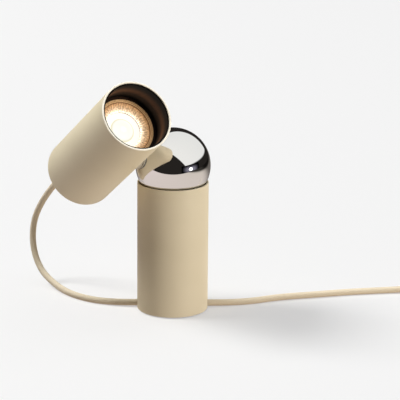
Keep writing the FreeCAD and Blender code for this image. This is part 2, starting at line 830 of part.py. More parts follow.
def make_coil():
    place = at(coil_x, coil_y, size("coil_lift"))
    outline = [
        ("coil_inside_bevel", None),
        ("coil_outside_bevel", None),
        ("coil_outside", "coil_bevel"),
        ("coil_outside", "coil_top_bevel"),
        ("coil_outside_bevel", "coil_height"),
        ("coil_inside_bevel", "coil_height"),
        ("coil_inside", "coil_top_bevel"),
        ("coil_inside", "coil_bevel"),
    ]
    coil = keep(turned("coil_turned", outline, place), "cord_coil")
    band_outline = [
        ("band_inside", None),
        ("band_outside", None),
        ("band_outside", "band_height"),
        ("band_inside", "band_height"),
    ]
    band = turned("band_turned", band_outline, at(coil_x, coil_y, 0))
    half = size("tie_width") / 2
    slab = box("band_slab", "band_outside", "tie_width", "band_height", at(coil_x, coil_y - half, 0))
    keep(cut("tie_solid", common("tie_blank", band, slab), coil), "coil_tie")


def make_switch():
    middle_x = (route[-1][0] + far_route[0][0]) / 2
    foot = at(middle_x, switch_y, 0)
    shell = rounded_block(
        "switch_shell", "switch_length", "switch_width", "switch_base_height", "switch_corner", foot
    )
    room_place = at(middle_x, switch_y, size("switch_wall"))
    room = centred_box(
        "switch_room", "switch_room_length", "switch_room_width", "switch_room_height", room_place
    )
    corner_post = fuse("switch_corners", *corner_posts(middle_x))
    keep(cut("switch_base_solid", shell, cut("switch_hollow", room, corner_post)), "switch_base")
    top = size("switch_base_height")
    seam = at(middle_x, switch_y, top)
    lid = rounded_block(
        "switch_lid", "switch_length", "switch_width", "switch_cover_height", "switch_corner", seam
    )
    height = "switch_cover_height"
    window = centred_box("switch_window", "window_length", "window_width", height, seam)
    pivot_z = top + size("switch_cover_height") / 2
    along_y = Rotation(Vector(1, 0, 0), -90)
    bore_place = Placement(Vector(middle_x, switch_y - size("axle_room") / 2, pivot_z), along_y)
    bore = cylinder("axle_hole", "axle_bore", "axle_room", bore_place)
    keep(cut("switch_cover_solid", lid, window, bore), "switch_cover")
    pivot = Placement(Vector(middle_x, switch_y, pivot_z), Rotation(Vector(0, 1, 0), -size("rocker_tilt")))
    low = pivot.multiply(at(0, 0, -size("rocker_sink")))
    key = rounded_block(
        "rocker_key", "rocker_length", "rocker_width", "rocker_height", "rocker_corner", low
    )
    axle_place = pivot.multiply(Placement(Vector(0, -size("axle_length") / 2, 0), along_y))
    axle = cylinder("rocker_axle", "axle_radius", "axle_length", axle_place)
    keep(fuse("rocker_solid", key, axle), "switch_rocker")


def corner_posts(middle_x):
    # The four corners of the switch's room stay solid, for its screws.
    out_x = size("switch_room_length") / 2
    out_y = size("switch_room_width") / 2
    posts = []
    for number, (way_x, way_y) in enumerate(((-1, -1), (1, -1), (1, 1), (-1, 1))):
        place = at(middle_x + way_x * out_x, switch_y + way_y * out_y, 0)
        posts.append(cylinder("switch_post%d" % number, "switch_corner", "switch_base_height", place))
    return posts


def oval(name, half_width, half_height, place):
    item = doc.addObject("Part::Ellipse", name)
    bind(item, MajorRadius=half_width, MinorRadius=half_height)
    item.Placement = place
    return item


def make_plug():
    # Ovals along the plug, from the face with its pins to the neck, then the cord's sleeve.
    tail_x = tail_route[-1][0]
    face_x = tail_x - size("plug_tail_length") - size("plug_length")
    plug_z = size("plug_half_height")
    outward = Rotation(Vector(0, 1, 0), Vector(0, 0, 1), Vector(1, 0, 0), "ZXY")

    def on_plug(x, y=0.0):
        return Placement(Vector(face_x + x, plug_y + y, plug_z), outward)

    ovals = [
        oval("plug_face", "plug_face_half_width", "plug_face_half_height", on_plug(0)),
        oval("plug_edge_oval", "plug_half_width", "plug_half_height", on_plug(size("plug_edge"))),
        oval("plug_grip_oval", "plug_half_width", "plug_half_height", on_plug(size("plug_grip"))),
        oval(
            "plug_shoulder_oval",
            "plug_shoulder_half_width",
            "plug_shoulder_half_height",
            on_plug(size("plug_shoulder")),
        ),
        oval("plug_neck", "plug_tail_radius", "plug_tail_radius", on_plug(size("plug_length"))),
    ]
    loft = doc.addObject("Part::Loft", "plug_loft")
    loft.Sections = ovals
    loft.Solid = True
    loft.Ruled = True
    root_place = on_plug(size("plug_length"))
    tail = cone("plug_tail", "plug_tail_radius", "gland_tip_radius", "plug_tail_length", root_place)
    keep(fuse("plug_solid", loft, tail), "plug_body")
    pins = []
    for number, side in enumerate((-1, 1)):
        place = on_plug(-size("plug_pin_length"), side * size("plug_pin_spacing") / 2)
        pins.append(cylinder("plug_pin%d" % number, "plug_pin_radius", "plug_pin_length", place))
    keep(gathered("plug_pin_pair", *pins), "plug_pins")


make_post_tube()
make_ballast()
make_foot_pads()
make_cord_clip()
make_top_collar()
make_friction_washer()
make_ball()
make_spindle()
make_spindle_fixings()
make_seat()
make_head_tube()
make_pivot_boss()
make_rear_cap()
make_stud()
make_lamp_holder()
make_bulb()
make_sleeve()
make_gland()
make_cord()
make_coil()
make_switch()
make_plug()
doc.recompute()

for item in doc.Objects:
    if "Invalid" in item.State or "Error" in item.State:
        raise RuntimeError("%s did not build: %s" % (item.Name, item.State))
for node in nodes:
    if node.Shape.isNull() or not node.Shape.isValid() or node.Shape.Volume <= 0:
        raise RuntimeError("%s is not a sound solid" % node.Label)

os.makedirs("parts", exist_ok=True)
for node in nodes:
    node.Shape.exportStep("parts/%s.step" % node.Label)
    print(node.Label, "solids", len(node.Shape.Solids), "volume", round(node.Shape.Volume, 1))
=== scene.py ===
import bpy
import math
import numpy as np
from mathutils import Matrix, Vector


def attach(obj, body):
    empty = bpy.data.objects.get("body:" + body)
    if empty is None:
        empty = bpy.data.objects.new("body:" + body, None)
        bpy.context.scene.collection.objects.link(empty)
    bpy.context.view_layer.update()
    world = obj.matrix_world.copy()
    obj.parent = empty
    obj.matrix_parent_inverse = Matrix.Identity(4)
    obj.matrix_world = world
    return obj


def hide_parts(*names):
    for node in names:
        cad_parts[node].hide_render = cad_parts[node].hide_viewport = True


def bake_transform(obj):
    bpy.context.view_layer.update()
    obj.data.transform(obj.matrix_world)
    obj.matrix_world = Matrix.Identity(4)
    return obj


# A table lamp: a powder coated post, a chromed ball in its top, and a lamp head held against
# the ball by a magnet seat. Shapes are in millimetres here and become metres in the mesh.

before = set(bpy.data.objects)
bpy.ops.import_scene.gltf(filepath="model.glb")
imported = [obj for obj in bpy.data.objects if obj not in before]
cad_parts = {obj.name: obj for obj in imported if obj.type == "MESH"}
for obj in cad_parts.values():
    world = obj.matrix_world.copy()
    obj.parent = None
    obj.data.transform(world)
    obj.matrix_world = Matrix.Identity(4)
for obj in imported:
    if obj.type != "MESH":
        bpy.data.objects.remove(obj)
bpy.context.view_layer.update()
print("stage: frame loaded with", len(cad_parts), "CAD nodes")

scene = bpy.context.scene
scene.view_settings.view_transform = "Standard"

mm = 0.001


# small tools for meshes

def makePiece(name, grid, closeAlong=False, closeAround=True, capStart=False, capEnd=False, lengths=None):
    # A grid of points becomes a mesh: rows run along the piece, columns run around it. A cap
    # is a fan from the end row to its middle. Faces are turned so that the volume is positive.
    # Its UV is the share around, and the row or the given length along.
    rows, columns, _ = grid.shape
    points = grid.reshape(-1, 3)
    lastRow = rows if closeAlong else rows - 1
    lastColumn = columns if closeAround else columns - 1
    row, column = np.meshgrid(np.arange(lastRow), np.arange(lastColumn), indexing="ij")
    nextRow = (row + 1) % rows
    nextColumn = (column + 1) % columns
    quads = np.stack([
        row * columns + column, row * columns + nextColumn,
        nextRow * columns + nextColumn, nextRow * columns + column,
    ], -1).reshape(-1, 4)
    around = np.stack([column, column + 1, column + 1, column], -1).reshape(-1, 4) / columns
    along = np.arange(rows + 1, dtype=float) if lengths is None else np.append(lengths, lengths[-1])
    uv = np.stack([around, along[np.stack([row, row, row + 1, row + 1], -1).reshape(-1, 4)]], -1)
    fans = []
    ring = np.arange(lastColumn)
    for wanted, start, backward in ((capStart, 0, True), (capEnd, (rows - 1) * columns, False)):
        if wanted:
            here, there = start + ring, start + (ring + 1) % columns
            middle = np.full_like(here, len(points))
            points = np.vstack([points, points[start:start + columns].mean(0)])
            fans.append(np.stack([here, middle, there] if backward else [here, there, middle], -1))
    volume = signedVolume(points, quads[:, [0, 1, 2]]) + signedVolume(points, quads[:, [0, 2, 3]])
    volume += sum(signedVolume(points, fan) for fan in fans)
    if volume < 0:
        quads, uv = quads[:, ::-1], uv[:, ::-1]
        fans = [fan[:, ::-1] for fan in fans]
    mesh = bpy.data.meshes.new(name)
    faces = quads.tolist() + [face for fan in fans for face in fan.tolist()]
    mesh.from_pydata((points * mm).tolist(), [], faces)
    layer = mesh.uv_layers.new(name="UVMap")
    capUv = np.zeros((3 * sum(len(fan) for fan in fans), 2))
    allUv = np.concatenate([uv.reshape(-1, 2), capUv])
    layer.data.foreach_set("uv", allUv.astype(np.float32).ravel())
    mesh.update()
    piece = bpy.data.objects.new(name, mesh)
    scene.collection.objects.link(piece)
    return piece


def signedVolume(points, triangles):
    # The sum of a . (b x c) / 6 over the triangles.
    a, b, c = points[triangles[:, 0]], points[triangles[:, 1]], points[triangles[:, 2]]
    return float(np.einsum("ij,ij->i", a, np.cross(b, c)).sum() / 6)


def smooth(piece, sharpAngle=35.0):
    # Smooth shading, but for edges that turn by more than the angle in degrees.
    mesh = piece.data
    mesh.polygons.foreach_set("use_smooth", np.ones(len(mesh.polygons), bool))
    mesh.set_sharp_from_angle(angle=math.radians(sharpAngle))
    mesh.update()
    return piece


def joinPieces(name, pieces):
    # Several meshes become one piece.
    with bpy.context.temp_override(active_object=pieces[0], selected_editable_objects=pieces):
        bpy.ops.object.join()
    pieces[0].name = name
    pieces[0].data.name = name
    return pieces[0]


def filletedProfile(corners, radii, steps=5):
    # A chain of corners, each swapped for a parabola that starts and ends its radius away.
    corners = np.asarray(corners, float)
    radii = np.broadcast_to(np.asarray(radii, float), (len(corners),))
    before = corners[:-2] - corners[1:-1]
    after = corners[2:] - corners[1:-1]
    reach = radii[1:-1, None]
    enter = corners[1:-1] + before / np.linalg.norm(before, axis=1, keepdims=True) * reach
    leave = corners[1:-1] + after / np.linalg.norm(after, axis=1, keepdims=True) * reach
    t = np.linspace(0, 1, steps)[None, :, None]
    curve = (1 - t) ** 2 * enter[:, None] + 2 * t * (1 - t) * corners[1:-1][:, None] + t ** 2 * leave[:, None]
    return np.vstack([corners[:1], curve.reshape(-1, 2), corners[-1:]])


def closedFilletedProfile(corners, radii, steps=5):
    # The same for a closed chain of corners.
    corners = np.asarray(corners, float)
    wrapped = np.vstack([corners[-1:], corners, corners[:1]])
    radii = np.broadcast_to(np.asarray(radii, float), (len(corners),))
    wrappedRadii = np.concatenate([radii[-1:], radii, radii[:1]])
    return filletedProfile(wrapped, wrappedRadii, steps)[1:-1]


def turnedGrid(profile, place, around=160):
    # A profile of radius and height turned about the Z axis of a place.
    origin, axes = place
    angle = np.linspace(0, 2 * np.pi, around, endpoint=False)
    radius, height = profile[:, 0][:, None], profile[:, 1][:, None]
    local = np.stack([radius * np.cos(angle), radius * np.sin(angle), height + 0 * angle], -1)
    return origin + local @ axes


def slabOutline(length, width, corner, perCorner=10):
    # A rectangle with round corners, walked counterclockwise with the same count on each corner.
    quarter = np.linspace(0, np.pi / 2, perCorner)
    turns = np.array([0.0, np.pi / 2, np.pi, 3 * np.pi / 2])
    signs = np.array([(1, 1), (-1, 1), (-1, -1), (1, -1)], float)
    centre = signs * (length / 2 - corner, width / 2 - corner)
    angle = turns[:, None] + quarter[None, :]
    arc = np.stack([np.cos(angle), np.sin(angle)], -1) * corner
    return (centre[:, None] + arc).reshape(-1, 2)


def loftGrid(sections, place):
    # Outlines at their heights, one row each. A section is an outline and a height.
    origin, axes = place
    rows = [np.column_stack([outline, np.full(len(outline), height)]) for outline, height in sections]
    return origin + np.stack(rows) @ axes


def tubeGrid(points, radius, sides, across):
    # A circle carried along a line of points. Its first spoke stays square to the direction
    # across, so neighbouring rings hardly turn against each other.
    tangent = np.gradient(points, axis=0)
    tangent /= np.linalg.norm(tangent, axis=1, keepdims=True)
    side = np.cross(tangent, across)
    side /= np.linalg.norm(side, axis=1, keepdims=True)
    up = np.cross(side, tangent)
    angle = np.linspace(0, 2 * np.pi, sides, endpoint=False)[None, :, None]
    return points[:, None] + radius * (np.cos(angle) * side[:, None] + np.sin(angle) * up[:, None])


def runLengths(points):
    # The length from the first point to each one.
    return np.concatenate([[0.0], np.cumsum(np.linalg.norm(np.diff(points, axis=0), axis=1))])


def unit(vector):
    return np.asarray(vector, float) / np.linalg.norm(vector)


# where the ball, the seat and the head are, in mm and degrees
lampPlace = {
    "ballHeight": 126.0,
    "ballRadius": 31.5,
    "headRadius": 30.0,
    "headStandoff": 1.9,
    "seatTurn": 198.8,
    "seatRise": 16.3,
    "headSpin": 52.8,
}


seatTurn, seatRise, headSpin = (
    math.radians(lampPlace[word]) for word in ("seatTurn", "seatRise", "headSpin"))
ballCentre = np.array([0.0, 0.0, lampPlace["ballHeight"]])
levelOut = np.array([math.cos(seatTurn), math.sin(seatTurn), 0.0])  # from the ball to the seat
straightUp = np.array([0.0, 0.0, 1.0])
seatAxis = levelOut * math.cos(seatRise) + straightUp * math.sin(seatRise)
seatUp = straightUp * math.cos(seatRise) - levelOut * math.sin(seatRise)
seatSide = np.array([-math.sin(seatTurn), math.cos(seatTurn), 0.0])
headAxis = seatUp * math.cos(headSpin) + seatSide * math.sin(headSpin)
headCentre = ballCentre + seatAxis * (
    lampPlace["ballRadius"] + lampPlace["headStandoff"] + lampPlace["headRadius"])

upright = (np.zeros(3), np.eye(3))
headAxes = np.stack([-seatAxis, np.cross(headAxis, -seatAxis), headAxis])
headPlace = (headCentre, headAxes)
seatPlace = (ballCentre, np.stack([headAxis, np.cross(seatAxis, headAxis), seatAxis]))


def onHead(x, y, z):
    # A place given from the head's middle, along its own three axes.
    return headCentre + np.array([x, y, z]) @ headAxes


# camera at the photograph's viewing angle: place in mm, pitch in degrees, roll in radians
cameraView = {
    "place": (22.793, -1699.203, 580.955),
    "pitch": 15.94,
    "roll": 0.009,
    "lens": 189.0,
    "sensor": 36.0,
    "clip": (0.05, 60.0),
}


def makeCamera():
    pitch = math.radians(cameraView["pitch"])
    roll = cameraView["roll"]
    forward = Vector((0, math.cos(pitch), -math.sin(pitch)))
    level = Vector((1, 0, 0))
    rise = Vector((0, math.sin(pitch), math.cos(pitch)))
    right = level * math.cos(roll) + rise * math.sin(roll)
    up = rise * math.cos(roll) - level * math.sin(roll)
    data = bpy.data.cameras.new("camera")
    data.sensor_width = cameraView["sensor"]
    data.lens = cameraView["lens"]
    data.clip_start, data.clip_end = cameraView["clip"]
    camera = bpy.data.objects.new("camera", data)
    turn = Matrix((right, up, -forward)).transposed().to_4x4()
    camera.matrix_world = Matrix.Translation(Vector(cameraView["place"]) * mm) @ turn
    scene.collection.objects.link(camera)
    scene.camera = camera


makeCamera()
print("stage: camera")


# cord, with the directions across it that its rings keep square to
cord = {
    "radius": 2.75,
    "sides": 28,
    "nearAcross": (0.6, 0.75, 0.3),
    "farAcross": (0.0, 0.0, 1.0),
    "resolution": 14,
    "blendInset": 0.06,
}

# the route from the head's gland to the switch, and the points where its spans meet
nearRoute = [
    (-90.6, 35.7, 111.4), (-96.4, 45.5, 103.3), (-113.9, 64.9, 77.8), (-124.1, 75.9, 53.9),
    (-124.8, 73.8, 30.5), (-117.5, 64.6, 12.2), (-104.5, 48.5, 4.6), (-91.0, 28.8, 2.75),
    (-73.1, 12.7, 2.75), (-52.8, 4.6, 3.0), (-23.7, 1.3, 4.1), (10.0, 1.6, 4.1),
    (40.3, 4.0, 3.4), (65.7, 9.8, 2.75), (92.2, 22.8, 2.75), (122.2, 30.0, 2.75),
    (151.5, 38.0, 2.75), (182.6, 43.6, 2.75), (204.0, 45.6, 3.4), (222.0, 46.5, 5.5),
]
spanMeets = [(3, 4), (6, 7), (9, 10)]

farRoute = [(278.0, 46.5, 5.5), (293.0, 47.3, 4.6), (308.0, 47.6, 3.7), (320.0, 47.0, 3.35)]
tailRoute = [
    (320.0, -32.6, 8.7), (309.0, -33.4, 7.6), (298.0, -38.6, 6.3), (287.0, -43.1, 6.5), (276.0, -43.5, 7.0),
]

coil = {
    "centre": (332.0, 9.5),
    "outerTurn": 37.5,
    "pitch": 5.5,
    "lowHeight": 3.35,
    "turns": 5.5,
    "perTurn": 18,
    "crossing": 0.2,
    "inwardAt": (0.75, 1.75),
    "climbAt": 2.55,
    "outwardAt": (3.35, 4.35, 5.35),
}


def eased(turn, start):
    # 3 t^2 - 2 t^3, from 0 to 1 over a crossing that begins at start.
    t = np.clip((turn - start) / coil["crossing"], 0, 1)
    return t * t * (3 - 2 * t)


def coilRoute():
    # Each turn keeps its radius and crosses to the next one over a fifth of a turn: inward
    # on the table, up at the middle, then outward on top of the first layer.
    count = int(coil["turns"] * coil["perTurn"])
    turn = np.arange(1, count) / coil["perTurn"]
    inward = sum(eased(turn, start) for start in coil["inwardAt"])
    outward = sum(eased(turn, start) for start in coil["outwardAt"])
    radius = coil["outerTurn"] + coil["pitch"] * (outward - inward)
    cutIn = 0.75 + 0.25 * math.cos(2 * math.pi / coil["perTurn"])  # how far the spline cuts inside
    angle = np.pi / 2 - 2 * np.pi * turn  # clockwise from the rear
    height = coil["lowHeight"] + coil["pitch"] * eased(turn, coil["climbAt"])
    x = coil["centre"][0] + radius / cutIn * np.cos(angle)
    y = coil["centre"][1] + radius / cutIn * np.sin(angle)
    return np.column_stack([x, y, height])


def splineLine(name, route):
    # The line that a spline with the route as its control points gives.
    curve = bpy.data.curves.new(name + "Line", "CURVE")
    curve.dimensions = "3D"
    curve.resolution_u = cord["resolution"]
    spline = curve.splines.new("NURBS")
    spline.points.add(len(route) - 1)
    flat = np.column_stack([np.asarray(route, float) * mm, np.ones(len(route))])
    spline.points.foreach_set("co", flat.astype(np.float32).ravel())
    spline.order_u = 3
    spline.use_endpoint_u = True
    holder = bpy.data.objects.new(name + "Line", curve)
    mesh = bpy.data.meshes.new_from_object(holder)
    line = np.empty(len(mesh.vertices) * 3, np.float32)
    mesh.vertices.foreach_get("co", line)
    bpy.data.meshes.remove(mesh)
    bpy.data.objects.remove(holder)
    bpy.data.curves.remove(curve)
    return line.reshape(-1, 3).astype(float) / mm


def splitAt(line, spot):
    # The line is cut where it passes nearest to a spot.
    return int(np.argmin(np.linalg.norm(line - np.asarray(spot), axis=1)))


def cordPiece(name, line, across, startLength=0.0):
    # A closed tube along the line, with its length from the cord's start in the UV.
    grid = tubeGrid(line, cord["radius"], cord["sides"], across)
    lengths = runLengths(line) + startLength
    piece = makePiece(name, grid, capStart=True, capEnd=True, lengths=lengths)
    return smooth(piece, sharpAngle=60)


nearLine = splineLine("near", nearRoute)
meetSpots = [(np.array(nearRoute[a]) + np.array(nearRoute[b])) / 2 for a, b in spanMeets]
cuts = [0] + [splitAt(nearLine, spot) for spot in meetSpots] + [len(nearLine) - 1]
nearSpans = [nearLine[start:stop + 1] for start, stop in zip(cuts[:-1], cuts[1:])]
nearAcross = unit(cord["nearAcross"])
spanNames = ["cordDropUpper", "cordDropMiddle", "cordDropLower", "cordTable"]
spanStarts = [float(runLengths(nearLine)[start]) for start in cuts[:-1]]
nearPieces = [
    cordPiece(name, line, nearAcross, start)
    for name, line, start in zip(spanNames, nearSpans, spanStarts)
]
farLine = splineLine("far", np.vstack([farRoute, coilRoute(), tailRoute]))
cordFar = cordPiece("cordFar", farLine, np.array(cord["farAcross"]))
cordDropUpper, cordDropMiddle, cordDropLower, cordTable = nearPieces
nearLength, farLength = runLengths(nearLine)[-1], runLengths(farLine)[-1]
print("stage: cords, near", round(float(nearLength)), "mm and far", round(float(farLength)), "mm")


# post: the wall's radii, the foot, the top and the channel that the cord takes through the foot
post = {
    "radius": 30.0,
    "bore": 28.5,
    "foot": 1.0,
    "top": 111.7,
    "lip": 0.45,
    "channelMiddle": 2.2,
    "channelHalf": 4.2,
    "channelSpring": 4.2,
    "aboveChannel": 12.0,
    "channelEdge": 0.03,
    "channelColumns": 25,
    "footRound": 0.25,
    "columns": 240,
}


def makePostTube():
    # A closed wall section carried round the axis. Its foot rises to the round roof of the
    # cord's channel where the section is within the channel.
    around = np.linspace(0, 2 * np.pi, post["columns"], endpoint=False)
    low, high = post["channelMiddle"] - post["channelHalf"], post["channelMiddle"] + post["channelHalf"]
    edge = post["channelEdge"]
    finer = np.linspace(low, high, post["channelColumns"])[1:-1]
    rightSide = np.arcsin(np.concatenate([[low - edge, low], finer, [high, high + edge]]) / post["radius"])
    leftSide = np.pi - rightSide
    angle = np.unique(np.round(np.concatenate([around, rightSide, leftSide]) % (2 * np.pi), 9))
    across = post["radius"] * np.sin(angle) - post["channelMiddle"]
    inside = np.abs(across) <= post["channelHalf"] + edge / 2
    roof = post["channelSpring"] + np.sqrt(np.clip(post["channelHalf"] ** 2 - across ** 2, 0, None))
    foot = np.where(inside, roof, post["foot"])
    wall = filletedProfile(
        [(post["radius"], post["aboveChannel"]), (post["radius"], post["top"]),
         (post["bore"], post["top"]), (post["bore"], post["aboveChannel"])],
        post["lip"])
    bevel = post["footRound"]
    bottom = np.array([
        (post["bore"], bevel), (post["bore"] + bevel, 0.0),
        (post["radius"] - bevel, 0.0), (post["radius"], bevel),
    ])
    radius, above = np.concatenate([wall, bottom]).T[:, :, None]
    followsFoot = np.repeat([0.0, 1.0], [len(wall), len(bottom)])[:, None]
    height = above + followsFoot * foot
    grid = np.stack([radius * np.cos(angle), radius * np.sin(angle), height], -1)
    return smooth(makePiece("postTube", grid, closeAlong=True), sharpAngle=30)


postTube = makePostTube()


ballMesh = {"rings": 112, "columns": 192}


def makeBall():
    # A sphere: rings by latitude, closed at the top and at the bottom.
    latitude = np.linspace(-np.pi / 2, np.pi / 2, ballMesh["rings"])[1:-1]
    radius = lampPlace["ballRadius"]
    profile = np.column_stack([radius * np.cos(latitude), ballCentre[2] + radius * np.sin(latitude)])
    grid = turnedGrid(profile, upright, ballMesh["columns"])
    piece = makePiece("polishedBall", grid, capStart=True, capEnd=True)
    # the middles of the two caps go out to the sphere too
    points = np.empty(len(piece.data.vertices) * 3, np.float32)
    piece.data.vertices.foreach_get("co", points)
    offset = points.reshape(-1, 3) - ballCentre * mm
    onSphere = offset / np.linalg.norm(offset, axis=1, keepdims=True) * radius * mm + ballCentre * mm
    piece.data.vertices.foreach_set("co", onSphere.astype(np.float32).ravel())
    return smooth(piece, sharpAngle=60)


polishedBall = makeBall()


# head: heights are along its own axis, from the seat's middle
head = {
    "radius": 30.0,
    "bore": 28.5,
    "rim": 70.8,
    "rear": -49.2,
    "lip": 0.5,
    "seatHole": 11.08,
    "sleeveBore": 27.2,
    "sleeveLow": 35.9,
    "sleeveTop": 69.9,
    "glandOffset": 11.0,
    "glandTurn": 110.0,
    "rearRound": 0.6,
    "boreRound": 0.35,
    "sleeveRound": 0.3,
    "sleeveMouth": 0.6,
    "sleeveFoot": 0.05,
    "seatBore": (26.0, 50.0),
    "columns": 200,
    "sleeveColumns": 180,
    "seatColumns": 96,
}


def cutWith(piece, cutter):
    # The cutter's room is taken out of the piece, and the cutter goes.
    change = piece.modifiers.new("room", "BOOLEAN")
    change.operation = "DIFFERENCE"
    change.solver = "EXACT"
    change.object = cutter
    bpy.context.view_layer.update()
    evaluated = piece.evaluated_get(bpy.context.evaluated_depsgraph_get())
    result = bpy.data.meshes.new_from_object(evaluated)
    piece.modifiers.clear()
    old = piece.data
    piece.data = result
    result.name = piece.name
    bpy.data.meshes.remove(old)
    bpy.data.objects.remove(cutter)
    return piece


def makeHeadTube():
    # A closed wall section turned about the head's axis, less the round hole for the seat.
    section = closedFilletedProfile(
        [(head["radius"], head["rear"]), (head["radius"], head["rim"]),
         (head["bore"], head["rim"]), (head["bore"], head["rear"])],
        [head["rearRound"], head["lip"], head["lip"], head["boreRound"]])
    tube = makePiece("headTube", turnedGrid(section, headPlace, head["columns"]), closeAlong=True)
    bore = np.array([(head["seatHole"], height) for height in head["seatBore"]])
    boreGrid = turnedGrid(bore, seatPlace, head["seatColumns"])
    cutter = makePiece("seatBore", boreGrid, capStart=True, capEnd=True)
    return smooth(cutWith(tube, cutter), sharpAngle=30)


def makeMouthSleeve():
    # A thin wall section turned about the head's axis.
    section = closedFilletedProfile(
        [(head["bore"], head["sleeveLow"]), (head["bore"], head["sleeveTop"]),
         (head["sleeveBore"], head["sleeveTop"]), (head["sleeveBore"], head["sleeveLow"])],
        [head["sleeveFoot"], head["sleeveRound"], head["sleeveMouth"], head["sleeveFoot"]])
    grid = turnedGrid(section, headPlace, head["sleeveColumns"])
    return smooth(makePiece("mouthSleeve", grid, closeAlong=True))


headTube = makeHeadTube()
mouthSleeve = makeMouthSleeve()


# bulb: a reflector lamp, with heights along the head's axis. A step of the rim has its place in
# from the outside, its place down from the face and its round. A bevel, edge, crown or inner
# corner has its height and its round.
bulb = {
    "face": 47.1,
    "radius": 25.0,
    "gap": 0.02,
    "rimDepth": 4.0,
    "rimRound": 0.2,
    "rimSteps": [
        (0.0, 0.7, 0.3), (0.4, 0.0, 0.15), (0.75, 0.05, 0.1), (0.8, 0.75, 0.05), (1.15, 0.8, 0.05),
        (1.2, 0.3, 0.1), (1.6, 0.35, 0.1), (1.65, 1.1, 0.05), (1.95, 1.15, 0.05), (2.0, 0.6, 0.1),
    ],
    "rimBevel": (1.2, 0.15),
    "bowlFloor": 39.1,
    "bowlSide": 22.5,
    "bowlRise": (2.4, 6.5),
    "bowlPower": 1.25,
    "bowlRows": 14,
    "ribs": 60,
    "perRib": 6,
    "ribDepth": 0.35,
    "diffuserRadius": 15.5,
    "diffuserFoot": 0.05,
    "diffuserEdge": (1.7, 0.3),
    "diffuserCrown": (2.0, 1.2),
    "diffuserInner": (1.5, 0.3),
    "lensRadius": 10.3,
    "lensEdge": 1.5,
    "lensRise": 3.0,
    "lensMiddle": 0.25,
    "lensRings": 26,
    "columns": 128,
}


def makeBulbRim():
    # The front ring: a rounded outer bead, three fine steps and a bevel down into the bowl.
    low, top = bulb["face"] - bulb["rimDepth"], bulb["face"]
    outer, inner = bulb["radius"], bulb["bowlSide"] + bulb["gap"]
    ledges = [(outer - inset, top - drop) for inset, drop, _ in bulb["rimSteps"]]
    rounds = [ledgeRound for _, _, ledgeRound in bulb["rimSteps"]]
    bevelDrop, bevelRound = bulb["rimBevel"]
    section = closedFilletedProfile(
        [(outer, low), *ledges, (inner, top - bevelDrop), (inner, low)],
        [bulb["rimRound"], *rounds, bevelRound, bulb["rimRound"]], steps=4)
    return smooth(makePiece("bulbRim", turnedGrid(section, headPlace), closeAlong=True), sharpAngle=40)


def makeBulbReflector():
    # A dished ring whose upper face is fluted: its height swings with the angle.
    floor, inner, outer = bulb["bowlFloor"], bulb["diffuserRadius"], bulb["bowlSide"] - bulb["gap"]
    low, high = bulb["bowlRise"]
    share = np.linspace(0, 1, bulb["bowlRows"])
    angle = np.linspace(0, 2 * np.pi, bulb["ribs"] * bulb["perRib"], endpoint=False)
    swing = bulb["ribDepth"] * np.sin(np.pi * share)[:, None] * np.abs(np.sin(angle * bulb["ribs"] / 2))
    upper = (floor + low + (high - low) * share ** bulb["bowlPower"])[:, None] - swing
    radius = np.append(inner + (outer - inner) * share, [outer, inner])[:, None]
    height = np.vstack([upper, np.full((2, len(angle)), floor)])
    local = np.stack([radius * np.cos(angle), radius * np.sin(angle), height], -1)
    return smooth(makePiece("bulbReflector", headCentre + local @ headAxes, closeAlong=True), sharpAngle=50)


def makeBulbDiffuser():
    # A shallow ring round the lens, slightly crowned.
    floor, foot = bulb["bowlFloor"], bulb["diffuserFoot"]
    inner, outer = bulb["lensRadius"] + bulb["gap"], bulb["diffuserRadius"] - bulb["gap"]
    middle = (bulb["lensRadius"] + bulb["diffuserRadius"]) / 2
    front = [
        (outer, *bulb["diffuserEdge"]), (middle, *bulb["diffuserCrown"]), (inner, *bulb["diffuserInner"]),
    ]
    section = closedFilletedProfile(
        [(inner, floor), (outer, floor)] + [(radius, floor + rise) for radius, rise, _ in front],
        [foot, foot] + [cornerRound for _, _, cornerRound in front])
    grid = turnedGrid(section, headPlace, bulb["columns"])
    return smooth(makePiece("bulbDiffuser", grid, closeAlong=True), sharpAngle=40)


def makeBulbLens():
    # A drum with a domed front, cut from the sphere through its edge and its middle.
    floor, radius, rise = bulb["bowlFloor"], bulb["lensRadius"], bulb["lensRise"]
    sphere = (radius ** 2 + rise ** 2) / (2 * rise)
    out = np.linspace(radius, bulb["lensMiddle"], bulb["lensRings"])
    dome = floor + bulb["lensEdge"] + rise - sphere + np.sqrt(sphere ** 2 - out ** 2)
    profile = np.vstack([[(bulb["lensMiddle"], floor), (radius, floor)], np.column_stack([out, dome])])
    grid = turnedGrid(profile, headPlace, bulb["columns"])
    return smooth(makePiece("bulbLens", grid, capStart=True, capEnd=True), sharpAngle=40)


bulbRim = makeBulbRim()
bulbReflector = makeBulbReflector()
bulbDiffuser = makeBulbDiffuser()
bulbLens = makeBulbLens()


# strain relief at the head's rear
gland = {
    "flangeRadius": 7.0,
    "flangeThick": 2.5,
    "flangeRound": 0.6,
    "rootRadius": 5.2,
    "tipRadius": 3.7,
    "reach": 22.0,
    "threadRadius": 4.5,
    "inner": 6.5,
    "clearance": 0.02,
    "rings": 6,
    "grooveDepth": 0.55,
    "groovesEnd": 0.96,
    "mouthInset": 0.4,
    "rows": 92,
    "columns": 72,
}


def grooves(share, rings, depth, stop):
    # A row of grooves up to a share of the length: the upper half of a sine, a wave for each.
    return depth * np.clip(np.sin(np.pi * (2 * rings * share - 0.5)), 0, 1) * (share < stop)


